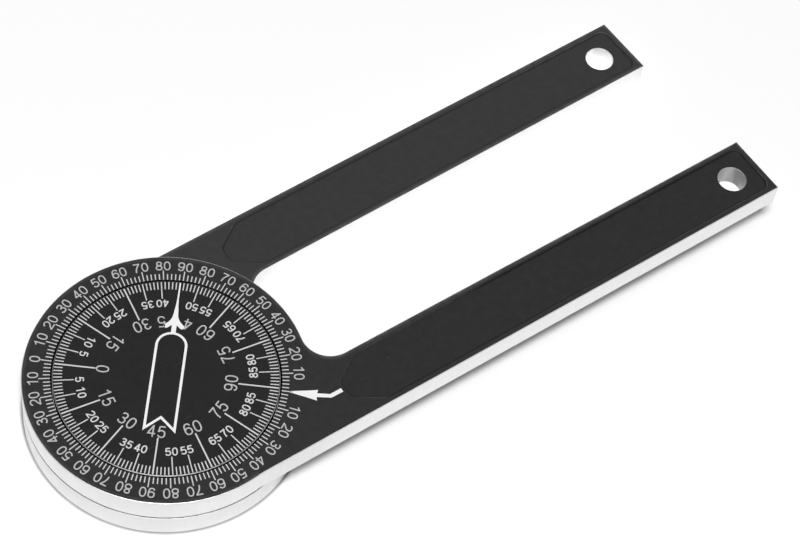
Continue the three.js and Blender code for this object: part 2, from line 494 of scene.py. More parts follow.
@dataclass(frozen=True)
class Effect:
    """A shader group that several finishes share.

    Attributes:
        name: Name of the group.
        inputs: Names and start values of its number inputs.
        outputs: Names of its number outputs.
        draw: Draws the nodes from the group's inputs, and returns the sockets for the outputs.
    """

    name: str
    inputs: dict[str, float]
    outputs: tuple[str, ...]
    draw: Callable[[Sketch, Any], tuple[Socket, ...]]

    def group(self) -> bpy.types.NodeTree:
        """Builds the group on first use.

        Returns:
            The group.
        """
        tree = bpy.data.node_groups.get(self.name)
        if tree:
            return tree
        tree = bpy.data.node_groups.new(self.name, "ShaderNodeTree")
        for label, start in self.inputs.items():
            socket = tree.interface.new_socket(label, in_out="INPUT", socket_type="NodeSocketFloat")
            socket.default_value = start
        for label in self.outputs:
            tree.interface.new_socket(label, in_out="OUTPUT", socket_type="NodeSocketFloat")
        sketch = Sketch(tree)
        results = self.draw(sketch, sketch.add("NodeGroupInput").outputs)
        sketch.add("NodeGroupOutput", dict(zip(self.outputs, results)))
        return tree

    def put(self, sketch: Sketch, **values: Any) -> Any:
        """Places the group in a material, with underscores for the spaces in its inputs' names."""
        inputs = {label.replace("_", " "): value for label, value in values.items()}
        return sketch.add("ShaderNodeGroup", inputs, node_tree=self.group()).outputs


def draw_fine_grain(sketch: Sketch, given: Any) -> tuple[Socket, ...]:
    """Draws an even fine grain with broader clouds.

    Args:
        sketch: Drawing of the group.
        given: The group's inputs.

    Returns:
        Height of the grain, and broad clouds.
    """
    place = sketch.place()
    fine = sketch.noise(place, given["Fineness"], Detail=3.0)
    broad = sketch.math("MULTIPLY", given["Fineness"], given["Cloud Share"])
    clouds = sketch.noise(place, broad, Detail=5.0, Roughness=0.72)
    return fine, sketch.span(clouds, 0.3, 0.7)


def draw_handling_marks(sketch: Sketch, given: Any) -> tuple[Socket, ...]:
    """Draws hair scratches in two directions and dust specks.

    Args:
        sketch: Drawing of the group.
        given: The group's inputs.

    Returns:
        Mask of the scratches, and mask of the specks.
    """
    place = sketch.place()
    streaks = []
    for turn, seed in ((0.5, 0.31), (2.2, 0.77)):
        stretch = {"Location": (seed, seed, seed), "Rotation": (0, 0, turn), "Scale": (1, 26, 1)}
        lie = sketch.add("ShaderNodeMapping", {"Vector": place, **stretch}).outputs[0]
        noise = sketch.noise(lie, given["Scratch Scale"], Detail=1.0, Distortion=0.4)
        streaks.append(sketch.span(noise, 0.78, 0.8))
    scratches = sketch.math("MAXIMUM", *streaks)
    cells = sketch.add("ShaderNodeTexVoronoi", {"Vector": place, "Scale": given["Speck Scale"]}).outputs
    dots = sketch.span(cells["Distance"], 0.02, 0.055, 1.0, 0.0)
    chosen = sketch.add("ShaderNodeSeparateColor", {0: cells["Color"]}).outputs[0]
    return scratches, sketch.math("MULTIPLY", dots, sketch.span(chosen, 0.86, 0.95))


def draw_edge_rub_and_light(sketch: Sketch, given: Any) -> tuple[Socket, ...]:
    """Draws the worn edges of a coat, together with painted highlights on edges and painted light on shaded
    strips, broken up by noise.

    Args:
        sketch: Drawing of the group.
        given: The group's inputs.

    Returns:
        Mask of the worn places and of the painted light.
    """
    # painted light: this per-vertex layer marks worn coat and also edges and strips painted lighter as
    # highlight
    near = sketch.add("ShaderNodeAttribute", attribute_name="edge_wear_and_light").outputs["Fac"]
    noise = sketch.noise(sketch.place(), given["Breakup"], Detail=4.0)
    reach = sketch.math("MULTIPLY", near, sketch.span(noise, 0.35, 0.65, 0.35, 1.0))
    return (sketch.math("MULTIPLY", reach, given["Amount"], clamp=True),)


def draw_tool_marks(sketch: Sketch, given: Any) -> tuple[Socket, ...]:
    """Draws the upright feed marks that an end mill leaves on a cut wall.

    Args:
        sketch: Drawing of the group.
        given: The group's inputs.

    Returns:
        Height of the marks, and broad clouds.
    """
    place = sketch.place()
    upright = sketch.add("ShaderNodeMapping", {"Vector": place, "Scale": (1, 1, 0.06)}).outputs[0]
    marks = sketch.noise(upright, given["Pitch"], Detail=2.0)
    clouds = sketch.noise(place, given["Clouds"], Detail=3.0)
    return marks, sketch.span(clouds, 0.3, 0.7)


def draw_round_zone(sketch: Sketch, given: Any) -> tuple[Socket, ...]:
    """Draws how far a place lies outside a circle round an upright axis.

    Args:
        sketch: Drawing of the group.
        given: The group's inputs.

    Returns:
        Mask that rises from 0 at the near radius to 1 at the far one.
    """
    axis = sketch.vector(given["Axis X"], given["Axis Y"])
    level = {0: sketch.place(), 1: (1.0, 1.0, 0.0)}
    flat = sketch.add("ShaderNodeVectorMath", level, operation="MULTIPLY").outputs[0]
    reach = sketch.add("ShaderNodeVectorMath", {0: flat, 1: axis}, operation="DISTANCE").outputs["Value"]
    return (sketch.span(reach, given["Near"], given["Far"]),)


FINE_GRAIN = Effect(
    "fine_grain", {"Fineness": 4000.0, "Cloud Share": 0.03}, ("Height", "Clouds"), draw_fine_grain
)
HANDLING_MARKS = Effect(
    "handling_marks",
    {"Scratch Scale": 60.0, "Speck Scale": 220.0},
    ("Scratches", "Specks"),
    draw_handling_marks,
)
# effect for worn coat, which also paints highlights on edges and painted light on shaded strips
EDGE_RUB_AND_LIGHT = Effect("edge_rub_and_light", {"Amount": 0.5, "Breakup": 500.0}, ("Rub",), draw_edge_rub_and_light)
TOOL_MARKS = Effect("tool_marks", {"Pitch": 2200.0, "Clouds": 60.0}, ("Height", "Clouds"), draw_tool_marks)
ROUND_ZONE = Effect(
    "round_zone",
    {"Axis X": 0.0, "Axis Y": 0.0, "Near": 0.034, "Far": 0.045},
    ("Outside",),
    draw_round_zone,
)


# Finishes


@dataclass(frozen=True)
class Finish:
    """What all finishes share: a material with one surface shader.

    Attributes:
        name: Name of the material.
    """

    name: str

    def material(self) -> bpy.types.Material:
        """Makes the material on first use.

        Returns:
            The finish as a material.
        """
        made = bpy.data.materials.get(self.name)
        if made:
            return made
        made = bpy.data.materials.new(self.name)
        made.use_nodes = True
        made.node_tree.nodes.clear()
        sketch = Sketch(made.node_tree)
        surface = sketch.add("ShaderNodeBsdfPrincipled")
        sketch.feed(surface, self.surface(sketch))
        sketch.add("ShaderNodeOutputMaterial", {"Surface": self.seen(sketch, surface)})
        return made

    def surface(self, sketch: Sketch) -> dict[str, Any]:
        """Draws what drives the surface shader, by the names of its inputs."""
        raise NotImplementedError

    def seen(self, sketch: Sketch, surface: Node) -> Socket:
        """Returns what the material shows, which is the surface alone for most finishes."""
        return surface.outputs[0]


@dataclass(frozen=True)
class Grained(Finish):
    """A finish with broad clouds and a fine grain.

    Attributes:
        tone: Grey level of the surface.
        cloud_tone: Grey level in its clouds.
        roughness: Roughness of the surface.
        roughness_swing: How far that changes, up and down.
        grain_height: Depth of the grain, in metres.
    """

    tone: float
    cloud_tone: float
    roughness: float = 0.5
    roughness_swing: float = 0.0
    grain_height: float = 0.000004

    def base(self, sketch: Sketch, clouds: Socket) -> Socket:
        """Returns the colour with its clouds."""
        return sketch.blend(clouds, grey(self.tone), grey(self.cloud_tone))

    def uneven(self, sketch: Sketch, mask: Socket, low: float, high: float) -> Socket:
        """Returns the roughness as it changes between two values of a mask."""
        start, end = self.roughness - self.roughness_swing, self.roughness + self.roughness_swing
        return sketch.span(mask, low, high, start, end)

    def normal(self, sketch: Sketch, height: Socket) -> Socket:
        """Returns the way the surface faces, with its grain."""
        return sketch.add("ShaderNodeBump", {"Height": height, "Distance": self.grain_height}).outputs[0]


@dataclass(frozen=True)
class BlackCoat(Grained):
    """Matt black coat on the faces of the plates and the dial, duller where it was handled.

    Attributes:
        cloud_share: Scale of the clouds, as a share of the grain's.
        gloss: Specular level of the coat.
        scratch_tone: Grey level of hair scratches.
        speck_tone: Grey level of dust specks.
        rub: How much the edges are worn, and painted lighter as highlight.
        rubbed_and_lit_tone: Grey level where the coat is worn away, or painted lighter as highlight or
            painted light.
    """

    roughness_swing: float = 0.04
    cloud_share: float = 0.12
    gloss: float = 0.2
    scratch_tone: float = 0.028
    speck_tone: float = 0.252
    rub: float = 0.35
    rubbed_and_lit_tone: float = 0.25

    def surface(self, sketch: Sketch) -> dict[str, Any]:
        """Draws the coat with its scratches and specks and its worn edges, which also carry painted
        highlights and painted light.

        Args:
            sketch: Drawing of the material.

        Returns:
            Values and sockets, by the names of the shader's inputs.
        """
        grain = FINE_GRAIN.put(sketch, Cloud_Share=self.cloud_share)
        marks = HANDLING_MARKS.put(sketch)
        # painted light: the worn-coat colour also paints highlights on edges and lightens shaded strips
        rub = EDGE_RUB_AND_LIGHT.put(sketch, Amount=self.rub)
        base = self.base(sketch, grain["Clouds"])
        scratched = sketch.blend(marks["Scratches"], base, grey(self.scratch_tone))
        specked = sketch.blend(marks["Specks"], scratched, grey(self.speck_tone))
        return {
            "Base Color": sketch.blend(rub["Rub"], specked, grey(self.rubbed_and_lit_tone)),
            "Roughness": self.uneven(sketch, grain["Clouds"], 0.0, 1.0),
            "Specular IOR Level": self.gloss,
            "Normal": self.normal(sketch, grain["Height"]),
        }


@dataclass(frozen=True)
class CutMetal(Grained):
    """Bare aluminium or steel as the cutter leaves it.

    Attributes:
        mark_pitch: Scale of the cutter's marks.
        bar_painted_light_tone: Grey level of the metal along a plate's bar, painted lighter than the head as
            painted light, or none where it is the same.
    """

    tone: float = 0.85
    cloud_tone: float = 0.8
    roughness: float = 0.42
    roughness_swing: float = 0.06
    grain_height: float = 0.000006
    mark_pitch: float = 2200.0
    bar_painted_light_tone: float | None = None

    def surface(self, sketch: Sketch) -> dict[str, Any]:
        """Draws the metal with the cutter's marks, and paints the bar lighter than the head where a bar tone
        is given.

        Args:
            sketch: Drawing of the material.

        Returns:
            Values and sockets, by the names of the shader's inputs.
        """
        marks = TOOL_MARKS.put(sketch, Pitch=self.mark_pitch)
        base = self.base(sketch, marks["Clouds"])
        if self.bar_painted_light_tone is not None:
            # painted light: the bar is painted lighter than the head
            base = sketch.blend(ROUND_ZONE.put(sketch)["Outside"], base, grey(self.bar_painted_light_tone))
        return {
            "Base Color": base,
            "Roughness": self.uneven(sketch, marks["Height"], 0.3, 0.7),
            "Metallic": 1.0,
            "Normal": self.normal(sketch, marks["Height"]),
        }


@dataclass(frozen=True)
class PlainStuff(Grained):
    """An even plastic or rubber with a fine moulded grain.

    Attributes:
        gloss: Specular level of the stuff.
        fineness: Scale of the grain.
        cloud_share: Scale of the clouds, as a share of the grain's.
    """

    grain_height: float = 0.00001
    gloss: float = 0.5
    fineness: float = 2500.0
    cloud_share: float = 0.1

    def surface(self, sketch: Sketch) -> dict[str, Any]:
        """Draws the stuff with its grain.

        Args:
            sketch: Drawing of the material.

        Returns:
            Values and sockets, by the names of the shader's inputs.
        """
        grain = FINE_GRAIN.put(sketch, Fineness=self.fineness, Cloud_Share=self.cloud_share)
        return {
            "Base Color": self.base(sketch, grain["Clouds"]),
            "Roughness": self.roughness,
            "Specular IOR Level": self.gloss,
            "Normal": self.normal(sketch, grain["Height"]),
        }


@dataclass(frozen=True)
class PrintInk(PlainStuff):
    """White ink of the scales, greyer where it lies thin."""

    roughness: float = 0.6
    grain_height: float = 0.000003
    gloss: float = 0.3
    fineness: float = 6000.0
    cloud_share: float = 0.12


UPPER_COAT = BlackCoat("upper_black_coat", tone=0.0155, cloud_tone=0.0235)
UPPER_FIELD = BlackCoat("upper_field_coat", tone=0.0115, cloud_tone=0.0195)
# painted light: the lower plate's coats are lighter than the upper plate's, for the brighter glare on the
# lower arm
LOWER_COAT = BlackCoat("lower_black_coat_painted_lighter", tone=0.0275, cloud_tone=0.0365)
LOWER_FIELD = BlackCoat("lower_field_coat_painted_lighter", tone=0.0245, cloud_tone=0.0335)
DIAL_COAT = BlackCoat("dial_black_coat", tone=0.006, cloud_tone=0.0115)
# painted light: the plates' metals are one aluminium in different tones, lighter along the bars
UPPER_METAL = CutMetal("upper_aluminium_painted_light", tone=0.78, cloud_tone=0.74, bar_painted_light_tone=0.82)
LOWER_METAL = CutMetal("lower_aluminium_painted_light", tone=0.72, cloud_tone=0.68, bar_painted_light_tone=0.89)
DIAL_METAL = CutMetal("dial_cut_aluminium", roughness=0.44)
TURNED_METAL = CutMetal("turned_aluminium", roughness=0.3, mark_pitch=1200.0)
STEEL = CutMetal("plated_steel", tone=0.55, cloud_tone=0.48, roughness=0.3)
RING_INK = PrintInk("ring_print", tone=0.68, cloud_tone=0.58)
NUMBER_INK = PrintInk("ring_number_print", tone=0.54, cloud_tone=0.47)
DIAL_INK = PrintInk("dial_print", tone=0.7, cloud_tone=0.62)
SOLID_INK = PrintInk("solid_print", tone=0.93, cloud_tone=0.86)
SLIP_PLASTIC = PlainStuff("slip_plastic", tone=0.8, cloud_tone=0.74, roughness=0.55)
RUBBER = PlainStuff("black_rubber", tone=0.02, cloud_tone=0.03, roughness=0.75)


# Meshes


def no_wear_or_light(_: Point) -> float:
    """Leaves the coat whole and paints no light on it."""
    return 0.0


def linked(name: str, data: bpy.types.ID) -> Piece:
    """Puts a mesh, a lamp or a camera in the scene.

    Args:
        name: Name of the object.
        data: The mesh, the lamp or the camera.

    Returns:
        The new object at the origin.
    """
    made = bpy.data.objects.new(name, data)
    bpy.context.scene.collection.objects.link(made)
    return made


def closed_mesh(
    name: str, mesh: bmesh.types.BMesh, finishes: Sequence[Finish], turn: float
) -> bpy.types.Mesh:
    """Turns a mesh built in millimetres about the pivot, and brings it to metres.

    Args:
        name: Name of the piece.
        mesh: The mesh, which is used up.
        finishes: Finishes in the order of the faces' numbers.
        turn: Degrees that the piece is turned.

    Returns:
        The mesh with its materials.
    """
    mesh.transform(Matrix.Rotation(math.radians(turn), 4, "Z") @ Matrix.Scale(MM, 4))
    data = bpy.data.meshes.new(name)
    mesh.to_mesh(data)
    mesh.free()
    for finish in finishes:
        data.materials.append(finish.material())
    return data


@dataclass(frozen=True)
class Ring:
    """One closed ring of a solid's skin.

    Attributes:
        outline: Points of the ring.
        level: Height of the ring.
        finish: Finish of the band between this ring and the next.
        crisp: Whether the shading breaks at this ring.
        wear_and_light: How far the coat is worn away, or painted lighter as highlight or painted light, at
            each point, from 0 to 1.
    """

    outline: Outline
    level: float
    finish: Face = Face.COAT
    crisp: bool = True
    wear_and_light: Callable[[Point], float] = no_wear_or_light


class SolidBuilder:
    """Builds one closed solid from skins and flat caps, in millimetres."""

    def __init__(self, name: str) -> None:
        """Starts an empty solid.

        Args:
            name: Name of the piece.
        """
        self.name = name
        self.mesh = bmesh.new()
        # per-vertex share of worn coat and of painted highlight and painted light
        self.wear_and_light = self.mesh.verts.layers.float.new("edge_wear_and_light")

    def skin(self, rings: Sequence[Ring]) -> tuple[Loop, Loop]:
        """Adds the bands between rings that all have as many points.

        Args:
            rings: The rings in order.

        Returns:
            The first and the last ring's vertices, for caps.
        """
        loops = []
        for ring in rings:
            loop = [self.mesh.verts.new((x, y, ring.level)) for x, y in ring.outline]
            for vert, point in zip(loop, ring.outline):
                vert[self.wear_and_light] = ring.wear_and_light(point)
            loops.append(loop)
        for ring, low, high in zip(rings, loops, loops[1:]):
            for i in range(len(low)):
                j = (i + 1) % len(low)
                made = self.mesh.faces.new((low[i], low[j], high[j], high[i]))
                made.material_index = ring.finish
                made.smooth = True
        for ring, loop in zip(rings, loops):
            if ring.crisp:
                for a, b in zip(loop, loop[1:] + loop[:1]):
                    edge = self.mesh.edges.get((a, b))
                    if edge:
                        edge.smooth = False
        return loops[0], loops[-1]

    def bore(
        self, profile: Sequence[Point], centre: Point = (0.0, 0.0), steps: int = SMALL_STEPS
    ) -> tuple[Loop, Loop]:
        """Adds a round wall of bare metal from radii and levels, and returns its first and last rims."""
        rings = [Ring(circle(radius, centre, steps), level, Face.METAL) for radius, level in profile]
        return self.skin(rings)

    def cap(self, rim: Loop, holes: Sequence[Loop] = (), finish: Face = Face.COAT) -> None:
        """Fills the flat region inside a rim and outside its holes.

        Args:
            rim: Outer ring of the region.
            holes: Rings inside it that stay open.
            finish: Finish of the flat face.
        """
        corners = [vert for loop in (rim, *holes) for vert in loop]
        points = [Vector((vert.co.x, vert.co.y)) for vert in corners]
        regions = []
        start = 0
        for loop in (rim, *holes):
            order = list(range(start, start + len(loop)))
            start += len(loop)
            if signed_area([(points[i].x, points[i].y) for i in order]) < 0:
                order.reverse()
            regions.append(order)
        filled = delaunay_2d_cdt(points, [], regions, 0, FILL_TOLERANCE)
        for triangle, owners in zip(filled[2], filled[5]):
            if set(owners) == {0}:
                made = self.mesh.faces.new([corners[filled[3][i][0]] for i in triangle])
                made.material_index = finish

    def blank(self, finishes: Sequence[Finish], turn: float = 0.0) -> bpy.types.Mesh:
        """Closes the solid and makes it a mesh.

        Args:
            finishes: Finishes in the order of the faces' numbers.
            turn: Degrees that the piece is turned about the pivot.

        Returns:
            The new mesh, in metres.
        """
        bmesh.ops.recalc_face_normals(self.mesh, faces=self.mesh.faces)
        for edge in self.mesh.edges:
            if len(edge.link_faces) == 2 and edge.calc_face_angle(0) > CRISP_ANGLE:
                edge.smooth = False
        return closed_mesh(self.name, self.mesh, finishes, turn)

    def finished(self, finishes: Sequence[Finish], turn: float = 0.0) -> Piece:
        """Closes the solid and makes it an object at the origin, as blank() makes it a mesh."""
        return linked(self.name, self.blank(finishes, turn))


def rounding(radius: float, segments: int = 3) -> list[Point]:
    """Makes the section of a rounded edge, as insets from the wall with depths under the face."""
    angles = [math.pi / 2 * i / segments for i in range(segments + 1)]
    return [(radius * (1 - math.cos(a)), radius * (1 - math.sin(a))) for a in angles]


class InkSheet:
    """Collects flat printed shapes and gives them the thickness of the ink."""

    def __init__(self, name: str) -> None:
        """Starts an empty sheet with the name of its piece."""
        self.name = name
        self.mesh = bmesh.new()

    def add(self, shapes: Sequence[Outline], place: Callable[[Point], Point]) -> None:
        """Adds shapes that may overlap as one figure without inner edges.

        Args:
            shapes: Simple closed outlines, in the figure's own frame.
            place: Takes a point of the figure to its place on the face.
        """
        points: list[Vector] = []
        regions = []
        for shape in shapes:
            outline = shape if signed_area(shape) > 0 else shape[::-1]
            regions.append(list(range(len(points), len(points) + len(outline))))
            points += [Vector(p) for p in outline]
        filled = delaunay_2d_cdt(points, [], regions, 0, FILL_TOLERANCE)
        verts = [self.mesh.verts.new((*place((p.x, p.y)), 0)) for p in filled[0]]
        for triangle, owners in zip(filled[2], filled[5]):
            if owners:
                self.mesh.faces.new([verts[i] for i in triangle])

    def finished(self, ink: Finish, sizes: ToolSizes, turn: float = 0.0) -> Piece:
        """Gives the sheet its thickness and makes it an object at the origin.

        Args:
            ink: Finish of the print.
            sizes: Sizes of the tool, for the levels of the ink.
            turn: Degrees that the piece is turned about the pivot.

        Returns:
            The new object, in metres.
        """
        loose = [vert for vert in self.mesh.verts if not vert.link_faces]
        bmesh.ops.delete(self.mesh, geom=loose, context="VERTS")
        for vert in self.mesh.verts:
            vert.co.z = sizes.face - sizes.ink
        raised = bmesh.ops.extrude_face_region(self.mesh, geom=self.mesh.faces[:], use_keep_orig=True)
        for part in raised["geom"]:
            if isinstance(part, bmesh.types.BMVert):
                part.co.z = sizes.top
        bmesh.ops.recalc_face_normals(self.mesh, faces=self.mesh.faces)
        return linked(self.name, closed_mesh(self.name, self.mesh, [ink], turn))


# Arms


@dataclass(frozen=True)
class ArmPlate:
    """What both arms share: the outline, the sunk field and the hanging hole.

    Attributes:
        side: Side that the bar lies on.
        bottom: Level of the underside.
        top: Level of the top face.
        top_edge: Radius of the rounded upper edge.
        inner_wear_and_light: Wear of the bar's inner edge, with painted highlight.
        outer_wear_and_light: Wear of the bar's outer edge and end, with painted highlight.
        head_wear_and_light: Wear of the head's edge with painted highlight, and on the lower plate painted
            light on the shaded gap under the upper plate, where more than 1 widens the worn and lighter
            strip.
        wall_light: Painted light on the field's inner wall beside the head, which lightens the wall's shade
            there.
        wall_lit_to: Distance from the pivot at which that painted light starts to fade.
        wall_unlit_from: Distance from the pivot at which it has faded.
        wear_and_light_strip: Width of the strip beside an edge that is worn or painted lighter.
        bar_fade: Share of an edge's worn and painted-light value that is left in the middle of that strip on
            the bar.
        lip_strip: Width of the line beside the sunk field in which its worn and painted-lighter edge fades.
        lip_shares: Reach of the lip's middle, of its foot and of the floor's hollow, as shares of the lip.
        head_slack: Distance before the straight edge's start that no longer counts as the head.
        sizes: Sizes of the tool.
    """

    side: Side
    bottom: float
    top: float
    top_edge: float
    inner_wear_and_light: float
    outer_wear_and_light: float
    head_wear_and_light: float
    wall_light: float = 0.0
    wall_lit_to: float = 66.0
    wall_unlit_from: float = 76.0
    wear_and_light_strip: float = 0.95
    bar_fade: float = 0.5
    lip_strip: float = 0.15
    lip_shares: tuple[float, float, float] = (0.3, 0.2, 0.5)
    head_slack: float = 0.1
    sizes: ToolSizes = SIZES

    def to_side(self, outline: Outline) -> Outline:
        """Brings an outline to this arm's side.

        Args:
            outline: Outline for the side of +Y.

        Returns:
            The outline, counterclockwise again.
        """
        if self.side == Side.PLUS_Y:
            return outline
        return [(x, -y) for x, y in reversed(outline)]

    def outer(self) -> Outline:
        """Makes the outline of the plate.

        Returns:
            The points in order.
        """
        s = self.sizes
        fillet_y = s.inner_edge - s.root_fillet
        fillet_x = math.sqrt((s.head_radius + s.root_fillet) ** 2 - fillet_y**2)
        fillet_angle = math.atan2(fillet_y, fillet_x)
        head_end = math.asin(s.measuring_edge / s.head_radius)
        fillet = arc((fillet_x, fillet_y), s.root_fillet, math.pi / 2, math.pi + fillet_angle)
        head = arc((0, 0), s.head_radius, fillet_angle, head_end - TURN)[1:]
        end = [(s.reach, s.measuring_edge), (s.reach, s.inner_edge)]
        return self.to_side((fillet + head + end)[::-1])

    def field_outline(self) -> Outline:
        """Makes the outline of the sunk field at the top face.

        Returns:
            The points in order.
        """
        s = self.sizes
        half = s.bar_width / 2 - s.field_margin
        shoulder = s.head_radius + s.nose_length
        tip = s.reach - s.field_margin
        lower = [
            (s.head_radius, -s.nose_half_width, s.field_corner),
            (shoulder, -half, s.field_shoulder),
            (tip, -half, s.field_corner),
        ]
        upper = [(x, -y, radius) for x, y, radius in reversed(lower)]
        field = rounded([(x, y + s.bar_middle, radius) for x, y, radius in lower + upper])
        return self.to_side(stepped(field, (self.wall_lit_to, self.wall_unlit_from)))

    def shell(self, solid: SolidBuilder) -> tuple[Loop, Loop]:
        """Adds the plate's outer wall with its rounded edges.

        Args:
            solid: The solid that is built.

        Returns:
            The rims of the bottom and the top face.
        """
        outline = self.outer()
        low, high = self.sizes.edge, self.top_edge
        rings = [Ring(shifted(outline, -low - self.wear_and_light_strip), self.bottom)]
        for inset, drop in reversed(rounding(low)):
            rings.append(Ring(shifted(outline, -inset), self.bottom + drop, Face.METAL, drop in (0, low)))
        for inset, drop in rounding(high)[:-1]:
            rings.append(Ring(shifted(outline, -inset), self.top - drop, Face.METAL, drop == high))
        # painted highlight: the top edge's rings carry worn coat and painted light
        rings.append(Ring(shifted(outline, -high), self.top, wear_and_light=self.edge_wear_and_light))
        rings.append(Ring(shifted(outline, -high - self.wear_and_light_strip / 2), self.top, wear_and_light=self.faded_wear_and_light))
        rings.append(Ring(shifted(outline, -high - self.wear_and_light_strip), self.top))
        return solid.skin(rings)

    def inner_side(self, point: Point) -> bool:
        """Tells whether a point lies on the bar's inner side."""
        return self.side * point[1] < self.sizes.bar_middle

    def on_head(self, point: Point) -> bool:
        """Tells whether a point of the edge belongs to the round head.

        Args:
            point: Point on or beside the edge, in the arm's own frame.

        Returns:
            Whether it lies on the head, and not on the straight edge that leaves the head's circle.
        """
        s = self.sizes
        leaves_at = math.sqrt(s.head_radius**2 - s.measuring_edge**2)
        straight = not self.inner_side(point) and point[0] > leaves_at - self.head_slack
        return point[0] < s.head_radius and not straight

    def edge_wear_and_light(self, point: Point) -> float:
        """Returns how worn and painted-lighter the upper edge is at a point: the head's value, or the bar's
        inner or outer one.
        """
        bar_wear = self.inner_wear_and_light if self.inner_side(point) else self.outer_wear_and_light
        return self.head_wear_and_light if self.on_head(point) else bar_wear

    def faded_wear_and_light(self, point: Point) -> float:
        """Returns the worn and painted-light value in the middle of the strip beside the edge."""
        return self.edge_wear_and_light(point) * (1.0 if self.on_head(point) else self.bar_fade)

    def field_skin(self, solid: SolidBuilder) -> tuple[Loop, Loop]:
        """Adds the sloping wall round the sunk field.

        Args:
            solid: The solid that is built.

        Returns:
            The rim in the top face and the rim of the field's floor.
        """
        outline = self.field_outline()
        floor = self.top - self.sizes.field_depth
        lip, run = self.sizes.field_lip, self.sizes.field_run
        middle, foot, hollow = (lip * share for share in self.lip_shares)
        rings = [
            Ring(shifted(outline, lip + self.lip_strip), self.top),
            # painted highlight on the lip, and painted light on the wall's upper part
            Ring(shifted(outline, lip), self.top, Face.FIELD, True, self.field_edge_light),
            Ring(shifted(outline, middle), self.top - middle, Face.FIELD, False, self.field_edge_light),
            Ring(shifted(outline, -foot), self.top - lip, Face.FIELD, False, self.inner_wall_light),
            Ring(shifted(outline, lip - run), floor + lip, Face.FIELD, False, self.inner_wall_light),
            Ring(shifted(outline, middle - run), floor + middle, Face.FIELD, False),
            Ring(shifted(outline, -run - hollow), floor, Face.FIELD),
        ]
        return solid.skin(rings)

    def field_edge_light(self, point: Point) -> float:
        """Tells how far the edge of the sunk field is painted lighter at a point, as painted highlight.

        Args:
            point: Point on the edge, in the arm's own frame.

        Returns:
            Painted highlight, which is full at the nose's outer slant and the tip's outer corner, or the
            wall's painted light elsewhere.
        """
        s = self.sizes
        slant = s.head_radius + s.nose_length / 3 < point[0] < s.head_radius + s.nose_length
        corner = point[0] > s.reach - s.field_margin - s.field_corner
        highlighted = (slant or corner) and not self.inner_side(point)
        return 1.0 if highlighted else self.inner_wall_light(point)

    def inner_wall_light(self, point: Point) -> float:
        """Returns the painted light on the field's wall, which lightens its shade on the bar's inner side
        beside the head.
        """
        beside_head = point[0] < (self.wall_lit_to + self.wall_unlit_from) / 2
        return self.wall_light if self.inner_side(point) and beside_head else 0.0

    def hanging_hole(self, solid: SolidBuilder) -> tuple[Loop, Loop]:
        """Adds the wall of the hanging hole, with its bevels.

        Args:
            solid: The solid that is built.

        Returns:
            The rims in the field's floor and in the underside.
        """
        s = self.sizes
        floor = self.top - s.field_depth
        narrow, wide = s.hole_radius, s.hole_radius + s.edge
        upper = [(wide, floor), (narrow, floor - s.edge)]
        lower = [(narrow, self.bottom + s.edge), (wide, self.bottom)]
        return solid.bore(upper + lower, (s.reach - s.hole_setback, self.side * s.bar_middle))


@dataclass(frozen=True)
class UpperArm:
    """The upper plate: a ring head round the dial, a bar, and the outer scale's ground.

    Attributes:
        sizes: Sizes of the tool.
    """

    sizes: ToolSizes = SIZES

    def build(self) -> list[Piece]:
        """Builds the plate in its place.

        Returns:
            The finished pieces.
        """
        s = self.sizes
        # Wear with painted highlight; the wall value is painted light on the field's wall
        wear_and_light = {"inner_wear_and_light": 0.9, "outer_wear_and_light": 0.05, "head_wear_and_light": 0.3, "wall_light": 0.4}
        plate = ArmPlate(Side.MINUS_Y, s.upper_bottom, s.face, top_edge=0.17, **wear_and_light)
        solid = SolidBuilder("upper_plate")
        bottom_rim, top_rim = plate.shell(solid)
        field_rim, floor_rim = plate.field_skin(solid)
        hole_top, hole_bottom = plate.hanging_hole(solid)
        seat = s.dial_radius + s.dial_gap
        inner = s.hub_radius + s.running_gap
        rings = [
            Ring(circle(seat + s.dial_edge), s.face),
            Ring(circle(seat + s.dial_edge / 3), s.face - s.dial_edge / 3, crisp=False),
            Ring(circle(seat), s.face - s.dial_edge),
            Ring(circle(seat), s.ledge_top),
            Ring(circle(inner), s.ledge_top, Face.METAL),
            Ring(circle(inner), s.upper_bottom, Face.METAL),
        ]
        seat_rim, bore_rim = solid.skin(rings)
        solid.cap(top_rim, [field_rim, seat_rim])
        solid.cap(floor_rim, [hole_top], Face.FIELD)
        solid.cap(bottom_rim, [hole_bottom, bore_rim])
        return [self.dressed(solid.finished([UPPER_COAT, UPPER_METAL, UPPER_FIELD], -s.rest_opening))]

    def dressed(self, piece: Piece) -> Piece:
        """Puts the plate in the place of its solid and on its body.

        Args:
            piece: The plate.

        Returns:
            The same piece.
        """
        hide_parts("upper_arm")
        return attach(piece, Body.UPPER.value)


